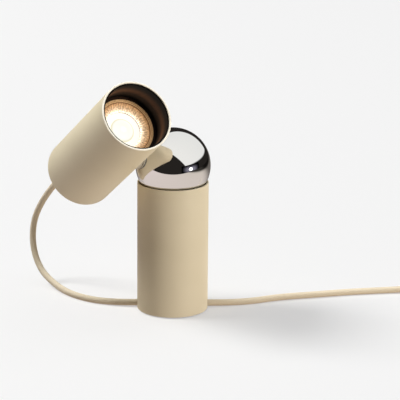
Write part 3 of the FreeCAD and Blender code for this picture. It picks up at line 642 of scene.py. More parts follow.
def makeStrainRelief():
    # A flange, then a tapered sleeve whose radius dips in a row of grooves.
    angle = math.radians(head["glandTurn"])
    spot = (head["glandOffset"] * math.cos(angle), head["glandOffset"] * math.sin(angle))
    bore = cord["radius"] + gland["clearance"]
    down = np.linspace(gland["flangeThick"], gland["reach"], gland["rows"])
    share = (down - gland["flangeThick"]) / (gland["reach"] - gland["flangeThick"])
    taper = gland["rootRadius"] + (gland["tipRadius"] - gland["rootRadius"]) * share
    groove = grooves(share, gland["rings"], gland["grooveDepth"], gland["groovesEnd"])
    sleeve = np.column_stack([taper - groove, down])
    flange = filletedProfile(
        [(gland["threadRadius"], 0.0), (gland["flangeRadius"], 0.0),
         (gland["flangeRadius"], gland["flangeThick"]), (gland["rootRadius"], gland["flangeThick"])],
        gland["flangeRound"])
    thread = np.array([(bore, -gland["inner"]), (gland["threadRadius"], -gland["inner"])])
    mouth = np.array([(gland["tipRadius"] - gland["mouthInset"], gland["reach"]), (bore, gland["reach"])])
    profile = np.vstack([thread, flange, sleeve[1:-1], mouth])
    place = (onHead(*spot, head["rear"]), np.stack([headAxes[0], -headAxes[1], -headAxes[2]]))
    grid = turnedGrid(profile, place, gland["columns"])
    return smooth(makePiece("strainRelief", grid, closeAlong=True), sharpAngle=40)


strainRelief = makeStrainRelief()


# in-line switch: the window and the rocker have a length, a width and a corner, and a section of
# the rocker has its inset and its height above the pivot
switch = {
    "middle": (250.0, 46.5),
    "length": 56.0,
    "width": 26.0,
    "corner": 6.0,
    "leastCorner": 0.4,
    "footRound": 1.4,
    "flatInset": 12.0,
    "seam": 9.0,
    "seamStep": 0.35,
    "seamGap": 0.02,
    "top": 15.0,
    "edge": 2.2,
    "window": (16.2, 10.2, 1.2),
    "windowRound": 0.5,
    "wellFloor": 0.6,
    "wellInset": 4.0,
    "pivotHeight": 12.0,
    "rockerTilt": 6.0,
    "rocker": (15.0, 9.0, 1.5),
    "rockerCorner": 0.25,
    "rockerSections": [
        (3.2, -1.5), (0.35, -1.5), (0.0, -1.2), (0.0, 2.9), (0.25, 3.6),
        (0.9, 3.9), (2.2, 3.9), (3.4, 3.9), (4.2, 3.9),
    ],
    "dip": 0.9,
    "dipAbove": 3.0,
}
shellSize = (switch["length"], switch["width"], switch["corner"])
switchPlace = (np.array([*switch["middle"], 0.0]), np.eye(3))


def switchSection(inset, height, size=shellSize):
    # The outline of the shell, or of another size, drawn in by the inset.
    long, wide, corner = size
    return slabOutline(long - 2 * inset, wide - 2 * inset, max(corner - inset, switch["leastCorner"])), height


def edgeSections(low, high, inset, upward, steps=7):
    # A quarter round between the side and a flat, as insets and heights.
    t = np.linspace(0, np.pi / 2, steps)
    if upward:
        return [switchSection(inset * (1 - math.cos(a)), low + (high - low) * math.sin(a)) for a in t]
    return [switchSection(inset * (1 - math.cos(a)), high - (high - low) * math.sin(a)) for a in t]


def makeSwitchBase():
    # The lower shell: a flat foot, a small round, the side and a step at the seam.
    foot, step, seam = switch["footRound"], switch["seamStep"], switch["seam"]
    close = seam - switch["seamGap"]
    sections = [
        switchSection(switch["flatInset"], 0.0), *edgeSections(0.0, foot, foot, upward=False)[::-1],
        switchSection(0.0, seam - step), switchSection(step, close),
        switchSection(switch["flatInset"], close),
    ]
    return smooth(makePiece("switchBase", loftGrid(sections, switchPlace), capStart=True, capEnd=True))


def makeSwitchCover():
    # The upper shell: a step at the seam, the side, a round edge and a window for the rocker.
    seam, step, top, edge = switch["seam"], switch["seamStep"], switch["top"], switch["edge"]
    window, lip, well = switch["window"], switch["windowRound"], seam + switch["wellFloor"]
    sections = [
        switchSection(switch["flatInset"], seam), switchSection(step, seam), switchSection(0.0, seam + step),
        *edgeSections(top - edge, top, edge, upward=True),
        switchSection(-lip, top, window), switchSection(0.0, top - lip, window),
        switchSection(0.0, well, window), switchSection(switch["wellInset"], well, window),
    ]
    return smooth(makePiece("switchCover", loftGrid(sections, switchPlace), capStart=True, capEnd=True))


def makeSwitchRocker():
    # A key whose top dips in the middle: the height grows with the square of the distance
    # from the pivot, so each end is a raised thumb rest.
    long, wide, corner = switch["rocker"]
    turn = math.radians(-switch["rockerTilt"])
    axes = np.array([
        (math.cos(turn), 0.0, -math.sin(turn)), (0.0, 1.0, 0.0), (math.sin(turn), 0.0, math.cos(turn)),
    ])
    sections = [
        (slabOutline(long - 2 * inset, wide - 2 * inset, max(corner - inset, switch["rockerCorner"])), height)
        for inset, height in switch["rockerSections"]
    ]
    rows = loftGrid(sections, upright)
    dip = switch["dip"] * (1 - (2 * rows[..., 0] / long) ** 2)
    rows[..., 2] -= dip * (rows[..., 2] > switch["dipAbove"])
    grid = np.array([*switch["middle"], switch["pivotHeight"]]) + rows @ axes
    return smooth(makePiece("switchRocker", grid, capStart=True, capEnd=True))


switchBase = makeSwitchBase()
switchCover = makeSwitchCover()
switchRocker = makeSwitchRocker()


# plug: half sizes of its oval sections, stations from its face; a pin's stations are where its bare
# part ends, where its sleeve starts, the plug's face and the pin's root
plug = {
    "face": 224.0,
    "bodyEnd": 254.0,
    "tailEnd": 276.0,
    "y": -43.5,
    "z": 7.0,
    "halfWidth": 16.0,
    "halfHeight": 7.0,
    "edge": 1.2,
    "grip": 11.0,
    "neck": 5.0,
    "tailTip": 3.7,
    "ribPitch": 3.2,
    "ribDepth": 0.45,
    "ribsBetween": (2, 7),
    "gripPower": 1.2,
    "gripRows": 90,
    "tailRings": 5,
    "grooveDepth": 0.45,
    "groovesEnd": 0.97,
    "tailRows": 60,
    "columns": 72,
    "pinRadius": 2.0,
    "pinLength": 19.0,
    "pinSpacing": 18.6,
    "pinTip": 0.94,
    "pinStations": (-10.2, -10.0, -0.02, 1.5),
    "pinColumns": 40,
}


def makePlugBody():
    # Ovals along X. The face has a quarter round edge, the grip narrows to the neck as a cosine
    # with ribs for the fingers, and the tail tapers with a row of grooves.
    length, neck = plug["bodyEnd"] - plug["face"], plug["neck"]
    turn = np.linspace(0, np.pi / 2, 7)
    edgeAt = plug["edge"] * (1 - np.cos(turn))
    edgeInset = plug["edge"] * (1 - np.sin(turn))
    gripAt = np.linspace(plug["edge"], length, plug["gripRows"])[1:]
    share = np.clip((gripAt - plug["grip"]) / (length - plug["grip"]), 0, 1) ** plug["gripPower"]
    ease = (1 + np.cos(np.pi * share)) / 2
    firstRib, lastRib = plug["ribsBetween"]
    ribs = plug["ribDepth"] * np.clip(np.sin(2 * np.pi * gripAt / plug["ribPitch"]), 0, 1)
    ribs = ribs * (gripAt > firstRib * plug["ribPitch"]) * (gripAt < lastRib * plug["ribPitch"])
    fine = np.linspace(0, 1, plug["tailRows"])[1:]
    taper = neck + (plug["tailTip"] - neck) * fine
    tail = taper - grooves(fine, plug["tailRings"], plug["grooveDepth"], plug["groovesEnd"])
    station = np.concatenate([[0.0], edgeAt, gripAt, length + (plug["tailEnd"] - plug["bodyEnd"]) * fine])
    wide, high = (
        np.concatenate([[half / 2], half - edgeInset, neck + (half - neck) * ease - ribs, tail])[:, None]
        for half in (plug["halfWidth"], plug["halfHeight"]))
    angle = np.linspace(0, 2 * np.pi, plug["columns"], endpoint=False)
    rows = np.stack([station[:, None] + 0 * angle, wide * np.cos(angle), high * np.sin(angle)], -1)
    grid = np.array([plug["face"], plug["y"], plug["z"]]) + rows
    return smooth(makePiece("plugBody", grid, capStart=True, capEnd=True), sharpAngle=40)


def makePlugPins():
    # Two round pins: a rounded tip, a bare length and an insulated sleeve by the plug's face.
    radius, tipRadius = plug["pinRadius"], plug["pinRadius"] * plug["pinTip"]
    bareEnd, sleeveStart, face, root = plug["pinStations"]
    t = np.linspace(0.1, np.pi / 2, 8)
    tip = np.column_stack([tipRadius * np.sin(t), -plug["pinLength"] + tipRadius * (1 - np.cos(t))])
    profile = np.vstack([tip, [(tipRadius, bareEnd), (radius, sleeveStart), (radius, face), (radius, root)]])
    axes = np.array([(0.0, 1.0, 0.0), (0.0, 0.0, 1.0), (1.0, 0.0, 0.0)])
    pins = []
    for side in (-1, 1):
        place = (np.array([plug["face"], plug["y"] + side * plug["pinSpacing"] / 2, plug["z"]]), axes)
        grid = turnedGrid(profile, place, plug["pinColumns"])
        pins.append(makePiece("plugPin", grid, capStart=True, capEnd=True))
    return smooth(joinPieces("plugPins", pins), sharpAngle=30)


plugBody = makePlugBody()
plugPins = makePlugPins()


# tie round the coil
tie = {"width": 12.0, "thick": 0.6, "radial": 8.25, "half": 5.5, "corner": 2.9}


def makeCoilTie():
    # A strap: a rounded loop round the coil's section, carried over the strap's width.
    inner, outer = (
        slabOutline(2 * (tie["radial"] + grow), 2 * (tie["half"] + grow), tie["corner"] + grow, perCorner=12)
        for grow in (0.0, tie["thick"]))
    x = coil["centre"][0] + coil["outerTurn"] - coil["pitch"]
    y = coil["centre"][1]
    z = coil["lowHeight"] + coil["pitch"] / 2
    half = tie["width"] / 2
    rows = [
        np.column_stack([x + outline[:, 0], np.full(len(outline), y + offset), z + outline[:, 1]])
        for outline, offset in ((inner, -half), (outer, -half), (outer, half), (inner, half))
    ]
    return smooth(makePiece("coilTie", np.stack(rows), closeAlong=True), sharpAngle=40)


coilTie = makeCoilTie()
print("stage: pieces")


def linear(hexColour):
    # sRGB hex to linear.
    value = hexColour.lstrip("#")
    parts = [int(value[i:i + 2], 16) / 255 for i in (0, 2, 4)]
    return tuple(c / 12.92 if c <= 0.04045 else ((c + 0.055) / 1.055) ** 2.4 for c in parts) + (1.0,)


def addNode(tree, kind, inputs=None, **settings):
    # One node with its settings. An input is a value, or a pair of a node and its output.
    node = tree.nodes.new(kind)
    for name, value in settings.items():
        setattr(node, name, value)
    for name, value in (inputs or {}).items():
        if isinstance(value, tuple) and len(value) == 2 and isinstance(value[0], bpy.types.Node):
            tree.links.new(value[0].outputs[value[1]], node.inputs[name])
        else:
            node.inputs[name].default_value = value
    return node


def startMaterial(name, **shaderValues):
    # A material whose shader takes each value at the socket that its word names.
    material = bpy.data.materials.new(name)
    material.use_nodes = True
    tree = material.node_tree
    shader = tree.nodes["Principled BSDF"]
    for key, value in shaderValues.items():
        shader.inputs[key.replace("_", " ")].default_value = value
    return material, tree, shader


def rowsOf(tree):
    # The piece's own UV: the share around in X, the row or the length in Y.
    uv = addNode(tree, "ShaderNodeUVMap", uv_map="UVMap")
    return addNode(tree, "ShaderNodeSeparateXYZ", {"Vector": (uv, "UV")})


def setTones(ramp, tones):
    # Fills a colour ramp from its places and sRGB colours.
    stops = ramp.color_ramp.elements
    while len(stops) < len(tones):
        stops.new(0.5)
    for stop, (place, _) in zip(stops, tones):
        stop.position = place
    for stop, (_, colour) in zip(stops, tones):
        stop.color = linear(colour)


powder = {
    "tones": [(0.3, "#dccdad"), (0.7, "#e0d1b2")],
    # the edge tone is a painted highlight on the head's rim
    "edge": "#f8efdc",
    "patch": 45.0,
    "grain": 0.9,
    "grainHeight": 0.012,
    "bumpStrength": 0.25,
    "roughness": 0.5,
}


def makePowderCoat(name, paintedHighlightRows=None):
    # Polyester powder coat on aluminium, baked: an even matte beige with a fine orange peel
    # that only softens the highlights. Where rows are given, a paler tone is painted between
    # those two rows of the piece's UV as a painted highlight on the rim.
    material, tree, shader = startMaterial(name, Roughness=powder["roughness"], IOR=1.5)
    where = addNode(tree, "ShaderNodeTexCoord")
    patch = addNode(tree, "ShaderNodeTexNoise",
                    {"Vector": (where, "Object"), "Scale": 1 / (powder["patch"] * mm), "Detail": 2.0})
    ramp = addNode(tree, "ShaderNodeValToRGB", {"Fac": (patch, "Fac")})
    setTones(ramp, powder["tones"])
    grain = addNode(tree, "ShaderNodeTexNoise",
                    {"Vector": (where, "Object"), "Scale": 1 / (powder["grain"] * mm), "Detail": 3.0})
    bump = addNode(tree, "ShaderNodeBump", {"Height": (grain, "Fac"), "Strength": powder["bumpStrength"],
                                            "Distance": powder["grainHeight"] * mm})
    tree.links.new(ramp.outputs["Color"], shader.inputs["Base Color"])
    tree.links.new(bump.outputs["Normal"], shader.inputs["Normal"])
    if paintedHighlightRows:
        middle, reach = sum(paintedHighlightRows) / 2, (paintedHighlightRows[1] - paintedHighlightRows[0]) / 2
        onPaintedHighlight = addNode(tree, "ShaderNodeMath", {0: (rowsOf(tree), "Y"), 1: middle, 2: reach},
                         operation="COMPARE")
        coat = addNode(tree, "ShaderNodeMix", {0: (onPaintedHighlight, 0), 6: (ramp, "Color"), 7: linear(powder["edge"])},
                       data_type="RGBA")
        tree.links.new(coat.outputs[2], shader.inputs["Base Color"])
    return material


chrome = {"colour": "#e2e1df", "lowRoughness": 0.02, "highRoughness": 0.05, "patch": 22.0}


def makeChrome():
    # Bright chromium plate on a polished steel ball: a mirror, a little dull where it has
    # been handled.
    material, tree, shader = startMaterial(
        "polishedChrome", Metallic=1.0, Base_Color=linear(chrome["colour"]))
    where = addNode(tree, "ShaderNodeTexCoord")
    smudge = addNode(tree, "ShaderNodeTexNoise",
                     {"Vector": (where, "Object"), "Scale": 1 / (chrome["patch"] * mm), "Detail": 4.0})
    dull = addNode(tree, "ShaderNodeMapRange", {
        "Value": (smudge, "Fac"), "From Min": 0.4, "From Max": 0.75,
        "To Min": chrome["lowRoughness"], "To Max": chrome["highRoughness"],
    })
    tree.links.new(dull.outputs["Result"], shader.inputs["Roughness"])
    return material


speckle = {"spread": (0.35, 0.65), "detail": 3.0, "bumpStrength": 0.5}


def speckled(name, light, shade, size, bumpHeight=0.0, **shaderValues):
    # A surface whose colour wanders between two near shades over patches of a size in mm.
    material, tree, shader = startMaterial(name, **shaderValues)
    where = addNode(tree, "ShaderNodeTexCoord")
    noise = addNode(tree, "ShaderNodeTexNoise",
                    {"Vector": (where, "Object"), "Scale": 1 / (size * mm), "Detail": speckle["detail"]})
    ramp = addNode(tree, "ShaderNodeValToRGB", {"Fac": (noise, "Fac")})
    setTones(ramp, list(zip(speckle["spread"], (shade, light))))
    tree.links.new(ramp.outputs["Color"], shader.inputs["Base Color"])
    if bumpHeight:
        bump = addNode(tree, "ShaderNodeBump", {"Height": (noise, "Fac"), "Strength": speckle["bumpStrength"],
                                                "Distance": bumpHeight * mm})
        tree.links.new(bump.outputs["Normal"], shader.inputs["Normal"])
    return material


# the sleeve's tones: a painted glow of the bulb, brown in the middle of the wall
paintedSleeveGlow = {
    "firstRow": 14.0,
    "tones": [(0.0, "#0c0806"), (0.08, "#18100b"), (0.3, "#5c3c26"), (0.46, "#2a1b11"), (0.62, "#0b0806")],
}


def makeSleeveEnamel():
    # Semi gloss black enamel on the wall round the bulb. Along the wall, which is one row of the
    # UV, its colour carries a painted glow of the bulb: brown in the middle and black at both ends.
    material, tree, shader = startMaterial("semiGlossEnamel", Roughness=0.5, IOR=1.5, Specular_IOR_Level=0.1)
    row = paintedSleeveGlow["firstRow"]
    along = addNode(tree, "ShaderNodeMapRange", {
        "Value": (rowsOf(tree), "Y"), "From Min": row, "From Max": row + 1})
    ramp = addNode(tree, "ShaderNodeValToRGB", {"Fac": (along, "Result")})
    ramp.color_ramp.interpolation = "EASE"
    setTones(ramp, paintedSleeveGlow["tones"])
    tree.links.new(ramp.outputs["Color"], shader.inputs["Base Color"])
    return material


braid = {
    # the darker tone is painted shade in the weave's hollows, the lighter one the raised threads
    "tones": [(0.0, "#cbb999"), (0.55, "#dfcfb4")],
    "carriers": 24.0,
    "rise": 1.5,
    "threadHeight": 0.06,
    "bumpStrength": 0.6,
}


def makeBraid():
    # A woven polyester sleeve on the flex. Its threads cross on two spirals, which the sine of
    # each spiral's phase gives on the piece's own UV: around the cord and along it in mm.
    material, tree, shader = startMaterial(
        "wovenCordSleeve", Roughness=0.75, IOR=1.46, Sheen_Weight=0.25, Sheen_Roughness=0.4)
    parts = rowsOf(tree)
    around = addNode(tree, "ShaderNodeMath", {0: (parts, "X"), 1: math.pi * braid["carriers"]},
                     operation="MULTIPLY")
    along = addNode(tree, "ShaderNodeMath", {0: (parts, "Y"), 1: 2 * math.pi / braid["rise"]},
                    operation="MULTIPLY")
    waves = []
    for direction in ("ADD", "SUBTRACT"):
        phase = addNode(tree, "ShaderNodeMath", {0: (around, 0), 1: (along, 0)}, operation=direction)
        waves.append(addNode(tree, "ShaderNodeMath", {0: (phase, 0)}, operation="SINE"))
    crossing = addNode(tree, "ShaderNodeMath", {0: (waves[0], 0), 1: (waves[1], 0)}, operation="MULTIPLY")
    height = addNode(tree, "ShaderNodeMapRange", {"Value": (crossing, 0), "From Min": -1.0, "From Max": 1.0})
    # the colour follows the weave's height: the threads' own crossing pattern, with the hollows between them
    # painted darker as shade
    ramp = addNode(tree, "ShaderNodeValToRGB", {"Fac": (height, "Result")})
    setTones(ramp, braid["tones"])
    bump = addNode(tree, "ShaderNodeBump", {"Height": (height, "Result"), "Strength": braid["bumpStrength"],
                                            "Distance": braid["threadHeight"] * mm})
    tree.links.new(ramp.outputs["Color"], shader.inputs["Base Color"])
    tree.links.new(bump.outputs["Normal"], shader.inputs["Normal"])
    return material


# the lit bulb: tones along the rows of each part, and how strongly it glows
glow = {
    "diffuserColour": "#fff9ea",
    "diffuserBody": "#8f8a80",
    "diffuserStrength": 1.08,
    "lensTones": [
        (0.0, "#e9e0be"), (0.12, "#ede7ca"), (0.26, "#fffef6"), (0.7, "#fbfcef"), (1.0, "#ffffff"),
    ],
    "lensBody": "#4a4a44",
    "lensRows": 27.0,
    "lensStrength": 1.0,
    "ringTones": [
        (0.0, "#fff4e0"), (0.2, "#fbe4c2"), (0.5, "#e6c095"), (0.86, "#cb9a68"), (1.0, "#4a2f1b"),
    ],
    "ringBody": "#7a5a40",
    "ringRows": 13.0,
    "ringStrength": 0.74,
    "innerBoost": 2.2,
    "boostEnd": 0.45,
    "sparkle": 1.2,
    "sparkleRange": (0.65, 1.4),
    "fluteRange": (0.82, 1.15),
    # the rim's brown tone is painted shade in its steps, and its glow is painted light of the bulb
    "rimShadeAndGlowTones": [(0.0, "#3c2717"), (0.4, "#a2764c"), (1.0, "#f2cc94")],
    "rimRows": 8.0,
    "rimPaintedGlow": 0.34,
}


def makeRibbedRing():
    # Clear amber plastic lit from its middle: the glow falls from cream to tan over the rows,
    # a sine round the ring follows the flutes, and a fine noise makes them sparkle.
    material, tree, shader = startMaterial(
        "amberPolycarbonate", Roughness=0.18, IOR=1.58, Base_Color=linear(glow["ringBody"]))
    parts = rowsOf(tree)
    outward = addNode(tree, "ShaderNodeMapRange", {"Value": (parts, "Y"), "From Max": glow["ringRows"]})
    ramp = addNode(tree, "ShaderNodeValToRGB", {"Fac": (outward, "Result")})
    setTones(ramp, glow["ringTones"])
    where = addNode(tree, "ShaderNodeTexCoord")
    noise = addNode(tree, "ShaderNodeTexNoise",
                    {"Vector": (where, "Object"), "Scale": 1 / (glow["sparkle"] * mm), "Detail": 2.0})
    sparkle = addNode(tree, "ShaderNodeMapRange", {
        "Value": (noise, "Fac"), "From Min": 0.4, "From Max": 0.6,
        "To Min": glow["sparkleRange"][0], "To Max": glow["sparkleRange"][1],
    })
    phase = addNode(tree, "ShaderNodeMath", {0: (parts, "X"), 1: 2 * math.pi * bulb["ribs"]},
                    operation="MULTIPLY")
    wave = addNode(tree, "ShaderNodeMath", {0: (phase, 0)}, operation="SINE")
    flute = addNode(tree, "ShaderNodeMapRange", {
        "Value": (wave, 0), "From Min": -1.0, "From Max": 1.0,
        "To Min": glow["fluteRange"][0], "To Max": glow["fluteRange"][1],
    })
    fade = addNode(tree, "ShaderNodeMapRange", {
        "Value": (outward, "Result"), "From Max": glow["boostEnd"],
        "To Min": glow["innerBoost"] * glow["ringStrength"], "To Max": glow["ringStrength"],
    })
    lit = addNode(tree, "ShaderNodeMath", {0: (fade, "Result"), 1: (sparkle, "Result")}, operation="MULTIPLY")
    strength = addNode(tree, "ShaderNodeMath", {0: (lit, 0), 1: (flute, "Result")}, operation="MULTIPLY")
    tree.links.new(ramp.outputs["Color"], shader.inputs["Emission Color"])
    tree.links.new(strength.outputs[0], shader.inputs["Emission Strength"])
    return material


def makeLensGlass():
    # Pressed glass over the light: nearly white, with a yellow line where its edge is thick.
    material, tree, shader = startMaterial(
        "pressedGlassLens", Roughness=0.08, IOR=1.5, Base_Color=linear(glow["lensBody"]),
        Emission_Strength=glow["lensStrength"])
    inward = addNode(tree, "ShaderNodeMapRange", {"Value": (rowsOf(tree), "Y"), "From Max": glow["lensRows"]})
    ramp = addNode(tree, "ShaderNodeValToRGB", {"Fac": (inward, "Result")})
    setTones(ramp, glow["lensTones"])
    tree.links.new(ramp.outputs["Color"], shader.inputs["Emission Color"])
    return material


def makeOpalDiffuser():
    # Opal acrylic over the light: it glows evenly, and its front still takes a highlight.
    return startMaterial(
        "opalDiffuser", Roughness=0.4, IOR=1.49, Base_Color=linear(glow["diffuserBody"]),
        Emission_Color=linear(glow["diffuserColour"]), Emission_Strength=glow["diffuserStrength"])[0]


def makeGoldRim():
    # Gold tinted plate with painted light: its glow is painted light of the bulb behind it, and a sine over
    # the rows paints a brown line of shade in each step.
    material, tree, shader = startMaterial("goldPlateWithPaintedLight", Roughness=0.26, Metallic=0.3,
                                           Emission_Strength=glow["rimPaintedGlow"])
    phase = addNode(tree, "ShaderNodeMath", {0: (rowsOf(tree), "Y"), 1: 2 * math.pi / glow["rimRows"]},
                    operation="MULTIPLY")
    wave = addNode(tree, "ShaderNodeMath", {0: (phase, 0)}, operation="SINE")
    stepShade = addNode(tree, "ShaderNodeMapRange", {"Value": (wave, 0), "From Min": -1.0, "From Max": 1.0})
    ramp = addNode(tree, "ShaderNodeValToRGB", {"Fac": (stepShade, "Result")})
    setTones(ramp, glow["rimShadeAndGlowTones"])
    tree.links.new(ramp.outputs["Color"], shader.inputs["Base Color"])
    tree.links.new(ramp.outputs["Color"], shader.inputs["Emission Color"])
    return material


materials = {
    "powderCoat": makePowderCoat("polyesterPowderCoat"),
    # the head's coat, with a painted highlight on its rim between rows 5 and 14
    "headCoat": makePowderCoat("powderCoatWithPaintedRimHighlight", (5.0, 14.0)),
    "chrome": makeChrome(),
    # stove enamel on the lamp ring: a warm near black with a soft sheen
    "enamel": speckled("blackStoveEnamel", "#2a1b12", "#1e140d", 6.0, Roughness=0.45, IOR=1.5,
                       Specular_IOR_Level=0.2),
    "sleeveEnamel": makeSleeveEnamel(),
    # cast grey iron: rough from the sand mould
    "iron": speckled("greyCastIron", "#57534e", "#403c38", 1.6, 0.15, Metallic=0.7, Roughness=0.62),
    # moulded nitrile rubber: dull, nearly black
    "rubber": speckled("nitrileRubber", "#2b2a29", "#222120", 1.2, 0.04, Roughness=0.85, IOR=1.52),
    # turned aluminium, bare: pale grey with a soft sheen
    "aluminium": speckled("bareAluminium", "#c9c9c6", "#b7b7b3", 2.0, 0.01, Metallic=1.0, Roughness=0.34),
    # zinc plated steel: a cold grey with faint patches
    "steel": speckled("zincPlatedSteel", "#9da0a3", "#85888c", 2.2, 0.01, Metallic=1.0, Roughness=0.42),
    # nickel plate: a warm bright metal
    "nickel": speckled("nickelPlate", "#d8d0c2", "#c8bfae", 3.0, Metallic=1.0, Roughness=0.16),
    # natural moulded nylon: ivory, waxy
    "nylon": speckled("naturalNylon", "#ddd5c2", "#cfc6b1", 1.5, 0.02, Roughness=0.45, IOR=1.53),
    # dark moulded plastic: satin, nearly black
    "darkPlastic": speckled("darkMouldedPlastic", "#302e2d", "#262524", 1.3, 0.02, Roughness=0.45, IOR=1.5),
    # steatite ceramic: chalky white
    "ceramic": speckled("steatiteCeramic", "#ece8de", "#dfdacd", 1.2, 0.03, Roughness=0.7, IOR=1.6),
    # the bulb's moulded shell: satin, off white
    "lampShell": speckled("mouldedLampShell", "#dcd9d1", "#cfcbc2", 2.0, 0.01, Roughness=0.4, IOR=1.5),
    "gold": makeGoldRim(),
    # moulded soft plastic in the lamp's own beige
    "plastic": speckled("mouldedBeigePlastic", "#d5c29c", "#cdb992", 1.1, 0.02, Roughness=0.46, IOR=1.5),
    # the switch's key: a harder, glossier beige
    "rockerPlastic": speckled("glossBeigePlastic", "#dfcda9", "#d8c5a0", 1.0, Roughness=0.28, IOR=1.5),
    "cord": makeBraid(),
    # hook and loop tape: short dull loops
    "tape": speckled("hookAndLoopTape", "#6a6157", "#463f38", 0.8, 0.25, Roughness=0.95, IOR=1.5),
    "amber": makeRibbedRing(),
    "diffuser": makeOpalDiffuser(),
    "lens": makeLensGlass(),
}

cadFinish = {
    "powderCoat": ["rear_cap"],
    "iron": ["ballast"],
    "rubber": ["foot_pad_front", "foot_pad_rear"],
    "aluminium": ["top_collar"],
    "steel": ["clip_screws", "ball_spindle", "spring_washer", "spindle_nut", "magnet_cup", "seat_washer",
              "seat_screw", "stud_screw", "pivot_boss", "holder_stud", "bulb_pins"],
    "nickel": ["disc_magnet"],
    "nylon": ["cord_clip", "friction_washer", "seat_pad"],
    "enamel": ["lamp_ring"],
    "ceramic": ["lamp_holder"],
    "lampShell": ["bulb_body"],
    "darkPlastic": ["terminal_block", "gland_nut"],
    "cord": ["inner_lead"],
}
for word, names in cadFinish.items():
    for name in names:
        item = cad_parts[name]
        if not item.material_slots:
            item.data.materials.append(materials[word])
        for place in item.material_slots:
            place.material = materials[word]

# piece, body, finish, record slot, CAD nodes that it stands for
finishes = [
    (postTube, "post", "powderCoat", "powder_coat", ["post_tube"]),
    (polishedBall, "ball", "chrome", "polished_ball", ["ball_shell"]),
    (headTube, "head", "headCoat", "powder_coat", ["head_tube"]),
    (mouthSleeve, "head", "sleeveEnamel", "black_enamel", ["inner_sleeve"]),
    (bulbRim, "head", "gold", "lamp_gold", ["bulb_rim"]),
    (bulbReflector, "head", "amber", "lamp_amber", ["bulb_reflector"]),
    (bulbDiffuser, "head", "diffuser", "lamp_white", ["bulb_diffuser"]),
    (bulbLens, "head", "lens", "lamp_glass", ["bulb_lens"]),
    (strainRelief, "head", "plastic", "beige_plastic", ["cord_gland"]),
    (switchBase, "post", "plastic", "beige_plastic", ["switch_base"]),
    (switchCover, "post", "plastic", "beige_plastic", ["switch_cover"]),
    (switchRocker, "rocker", "rockerPlastic", "rocker_plastic", ["switch_rocker"]),
    (plugBody, "post", "plastic", "beige_plastic", ["plug_body"]),
    (plugPins, "post", "nickel", "nickel", ["plug_pins"]),
    (coilTie, "post", "tape", "hook_tape", ["coil_tie"]),
    (cordTable, "post", "cord", "cord_fabric", ["cord_table"]),
    (cordFar, "post", "cord", "cord_fabric", ["cord_past_switch", "cord_coil", "cord_tail"]),
    (cordDropUpper, None, "cord", "cord_fabric", ["cord_drop_upper"]),
    (cordDropMiddle, None, "cord", "cord_fabric", ["cord_drop_middle"]),
    (cordDropLower, None, "cord", "cord_fabric", ["cord_drop_lower"]),
]
for piece, body, word, slot, nodes in finishes:
    piece.data.materials.clear()
    piece.data.materials.append(materials[word])
    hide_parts(*nodes)
    if body:
        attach(piece, body)

# each span of the drop, listed with the two bodies it runs between, has its place baked into its mesh
spanBodies = [
    (cordDropUpper, nearSpans[0], "head", "seat"),
    (cordDropMiddle, nearSpans[1], "seat", "ball"),
    (cordDropLower, nearSpans[2], "ball", "post"),
]
for piece, line, upperBody, lowerBody in spanBodies:
    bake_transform(piece)

print("stage: materials and bodies")


# floor and light: a light has its turn from the camera's side and its rise in degrees, its distance
# and size in metres, its radiance and its colour
studio = {
    "floorColour": "#bcbcbb",
    "floorSeen": "#b0b0b1",
    "floorGlow": ("#3c1200", "#846e4a"),
    "glowEnds": (-0.3, 0.3),
    "backdrop": "#f6f6f6",
    "dark": "#2a2725",
    "key": {
        "turn": 57.0, "rise": 15.0, "distance": 3.0,
        "size": 1.0, "radiance": 20.4, "colour": "#ffffff",
    },
    "back": {
        "turn": -108.0, "rise": 64.0, "distance": 3.0,
        "size": 2.2, "radiance": 9.5, "colour": "#f6fbff",
    },
    "rightRim": {
        "turn": 145.0, "rise": 5.0, "distance": 3.0,
        "size": 1.0, "radiance": 14.0, "colour": "#ffffff",
    },
    "shade": {
        "turn": -95.0, "rise": 47.0, "distance": 14.0,
        "size": 4.7, "radiance": 25.0, "colour": "#ffffff",
    },
    "sky": {
        "turn": 0.0, "rise": 88.0, "distance": 8.0,
        "size": 11.0, "radiance": 0.9, "colour": "#ffffff",
    },
    "glint": {
        "turn": 56.0, "rise": -2.0, "distance": 1.0,
        "size": 0.115, "radiance": 14.0, "colour": "#ffffff",
    },
    "floorHalf": 6000.0,  # half of the floor's side in mm
}


def makeFloor():
    # A pale board. It glows near white for the camera. For the lamp it is warmer and darker, and
    # it brightens along X between the glow's ends, as if lit from the right.
    half = studio["floorHalf"]
    grid = np.array([[(-half, -half, 0), (half, -half, 0)], [(-half, half, 0), (half, half, 0)]], float)
    floor = makePiece("floor", grid, closeAround=False)
    material, tree, shader = startMaterial(
        "paintedBoard", Roughness=0.9, IOR=1.3, Base_Color=linear(studio["floorColour"]),
        Specular_IOR_Level=0.0, Emission_Strength=1.0)
    path = addNode(tree, "ShaderNodeLightPath")
    glowing = addNode(tree, "ShaderNodeMix", {0: (path, "Is Camera Ray")}, data_type="RGBA")
    where = addNode(tree, "ShaderNodeTexCoord")
    place = addNode(tree, "ShaderNodeSeparateXYZ", {"Vector": (where, "Object")})
    share = addNode(tree, "ShaderNodeMapRange", {
        "Value": (place, "X"), "From Min": studio["glowEnds"][0], "From Max": studio["glowEnds"][1]})
    bounce = addNode(tree, "ShaderNodeMix", {0: (share, "Result")}, data_type="RGBA")
    bounce.inputs[6].default_value, bounce.inputs[7].default_value = map(linear, studio["floorGlow"])
    tree.links.new(bounce.outputs[2], glowing.inputs[6])
    glowing.inputs[7].default_value = linear(studio["floorSeen"])
    tree.links.new(glowing.outputs[2], shader.inputs["Emission Color"])
    floor.data.materials.append(material)
    floor.visible_glossy = False
    return floor


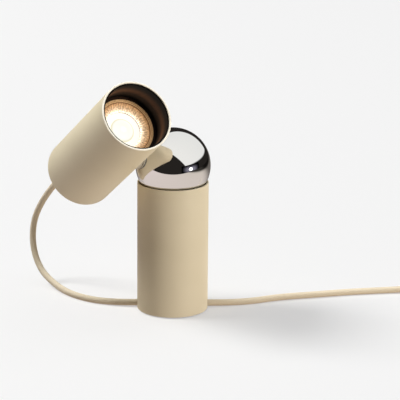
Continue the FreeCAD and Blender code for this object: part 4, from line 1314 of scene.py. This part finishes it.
def mirrorPanel(name, centre, side, up, sizes, colours, strength, soft, dims=(None, None)):
    # A glowing panel that only mirrors see. Its glow fades to nothing within the soft distance
    # of each edge, its colour runs from one to the other along its side, and a dim for its side
    # or its rise lowers it between two distances to a share.
    centre, side, up = np.array(centre, float), unit(side), unit(up)
    corner = [centre + (a * side * sizes[0] + b * up * sizes[1]) / 2 for b in (-1, 1) for a in (-1, 1)]
    piece = makePiece(name, np.array(corner).reshape(2, 2, 3) / mm, closeAround=False)
    material, tree, shader = startMaterial(
        name, Roughness=1.0, Base_Color=(0, 0, 0, 1), Specular_IOR_Level=0.0)
    where = addNode(tree, "ShaderNodeTexCoord")
    offset = addNode(tree, "ShaderNodeVectorMath", {0: (where, "Object"), 1: tuple(centre)},
                     operation="SUBTRACT")
    glow = addNode(tree, "ShaderNodeValue")
    glow.outputs[0].default_value = strength
    for axis, size, edge, dim in zip((side, up), sizes, soft, dims):
        along = addNode(tree, "ShaderNodeVectorMath", {0: (offset, 0), 1: tuple(axis)},
                        operation="DOT_PRODUCT")
        away = addNode(tree, "ShaderNodeMath", {0: (along, "Value")}, operation="ABSOLUTE")
        fade = addNode(tree, "ShaderNodeMapRange", {
            "Value": (away, 0), "From Min": size / 2 - edge, "From Max": size / 2,
            "To Min": 1.0, "To Max": 0.0,
        }, interpolation_type="SMOOTHERSTEP")
        glow = addNode(tree, "ShaderNodeMath", {0: (glow, 0), 1: (fade, "Result")}, operation="MULTIPLY")
        if dim:
            lower = addNode(tree, "ShaderNodeMapRange", {
                "Value": (along, "Value"), "From Min": dim[0], "From Max": dim[1],
                "To Min": 1.0, "To Max": dim[2],
            }, interpolation_type="SMOOTHERSTEP")
            glow = addNode(tree, "ShaderNodeMath", {0: (glow, 0), 1: (lower, "Result")}, operation="MULTIPLY")
    across = addNode(tree, "ShaderNodeVectorMath", {0: (offset, 0), 1: tuple(side)}, operation="DOT_PRODUCT")
    share = addNode(tree, "ShaderNodeMapRange", {
        "Value": (across, "Value"), "From Min": -sizes[0] / 4, "From Max": sizes[0] / 4})
    tint = addNode(tree, "ShaderNodeMix", {0: (share, "Result")}, data_type="RGBA")
    tint.inputs[6].default_value, tint.inputs[7].default_value = linear(colours[0]), linear(colours[1])
    tree.links.new(tint.outputs[2], shader.inputs["Emission Color"])
    tree.links.new(glow.outputs[0], shader.inputs["Emission Strength"])
    piece.data.materials.append(material)
    piece.visible_camera = False
    piece.visible_diffuse = False
    piece.visible_shadow = False
    piece.visible_transmission = False


# the mirrored panels, in metres: sizes and soft edges are along the side and the rise, and a dim has
# the two distances it runs between and its share
panels = {
    "softBox": {
        "sizes": (9.15, 14.0), "colours": ("#f6f6f4", "#eeefee"), "strength": 1.16, "soft": (0.35, 0.35),
    },
    "tableSheet": {
        "sizes": (2.8, 2.02), "colours": ("#f4e6e4", "#e0d8cb"), "strength": 0.98, "soft": (0.3, 0.03),
        "dims": ((0.18, 0.5, 0.06), (-0.5, -0.08, 0.2)),
    },
    "glintHalo": {
        "sizes": (1.2, 0.46), "colours": ("#d9d4ea", "#d9d4ea"), "strength": 0.5, "soft": (0.6, 0.23),
    },
}
panelPlace = {"boxAway": 3.0, "boxAside": 0.21, "boxUp": 4.84, "sheet": (0.2, 0.49, 0.0), "haloAway": 1.05,
              "haloDown": 0.05}


def makeMirrored():
    # What the ball mirrors: the big box that leans over it from the right, the pale table top
    # that ends short of the camera, and the soft halo round the glint.
    ball = ballCentre * mm
    look, rise = unit((1, 0, 1)), unit((-1, 0, 1))
    box = ball + panelPlace["boxAway"] * look + (0, panelPlace["boxAside"], 0) + panelPlace["boxUp"] * rise
    mirrorPanel("softBox", box, (0, 1, 0), rise, **panels["softBox"])
    mirrorPanel("tableSheet", panelPlace["sheet"], (1, 0, 0), (0, 1, 0), **panels["tableSheet"])
    turn = math.radians(studio["glint"]["turn"])
    outward = np.array([math.sin(turn), -math.cos(turn), 0.0])
    halo = ball + panelPlace["haloAway"] * outward - (0, 0, panelPlace["haloDown"])
    mirrorPanel("glintHalo", halo, (outward[1], -outward[0], 0), (0, 0, 1), **panels["glintHalo"])


def areaLight(name, centre, facing, sizes, radiance):
    # A soft box: its power is the radiance times pi times its area.
    data = bpy.data.lights.new(name, "AREA")
    data.shape = "RECTANGLE"
    data.size, data.size_y = sizes
    data.energy = radiance * math.pi * sizes[0] * sizes[1]
    lamp = bpy.data.objects.new(name, data)
    back = Vector(facing).normalized() * -1
    side = Vector((0, 0, 1)).cross(back).normalized()
    up = back.cross(side)
    turn = Matrix((side, up, back)).transposed().to_4x4()
    lamp.matrix_world = Matrix.Translation(Vector(centre)) @ turn
    lamp.visible_camera = False
    scene.collection.objects.link(lamp)
    return lamp


def studioLight(name):
    # A square soft box that looks at the ball from its turn and rise.
    light = studio[name]
    turn, rise = math.radians(light["turn"]), math.radians(light["rise"])
    outward = Vector((math.cos(rise) * math.sin(turn), -math.cos(rise) * math.cos(turn), math.sin(rise)))
    centre = Vector(ballCentre * mm) + outward * light["distance"]
    lamp = areaLight(name, centre, -outward, (light["size"], light["size"]), light["radiance"])
    lamp.data.color = linear(light["colour"])[:3]
    return lamp


def makeLights(floor):
    # None of these shows in the ball but the glint. The floor takes only the two lights that
    # shade it, and the lamp takes the others.
    onFloor, offFloor = bpy.data.collections.new("onFloor"), bpy.data.collections.new("offFloor")
    onFloor.objects.link(floor)
    offFloor.objects.link(floor)
    offFloor.collection_objects[0].light_linking.link_state = "EXCLUDE"
    for name in ("key", "back", "rightRim", "shade", "sky"):
        lamp = studioLight(name)
        lamp.visible_glossy = False
        lamp.light_linking.receiver_collection = onFloor if name in ("shade", "sky") else offFloor
    glint = studioLight("glint")
    glint.visible_diffuse = False
    world = bpy.data.worlds.new("studio")
    scene.world = world
    world.use_nodes = True
    tree = world.node_tree
    tree.nodes.clear()
    path = addNode(tree, "ShaderNodeLightPath")
    colour = addNode(tree, "ShaderNodeMix", {0: (path, "Is Camera Ray")}, data_type="RGBA")
    colour.inputs[6].default_value = linear(studio["dark"])
    colour.inputs[7].default_value = linear(studio["backdrop"])
    seen = addNode(tree, "ShaderNodeBackground", {"Color": (colour, 2), "Strength": 1.0})
    addNode(tree, "ShaderNodeOutputWorld", {"Surface": (seen, 0)})
    world.cycles_visibility.diffuse = False


# the put-away cord lies out of the picture, so the ball doesn't bring it back in
for piece in (switchBase, switchCover, switchRocker, plugBody, plugPins, coilTie, cordFar):
    piece.visible_glossy = False
makeMirrored()
makeLights(makeFloor())
print("stage: floor and light")
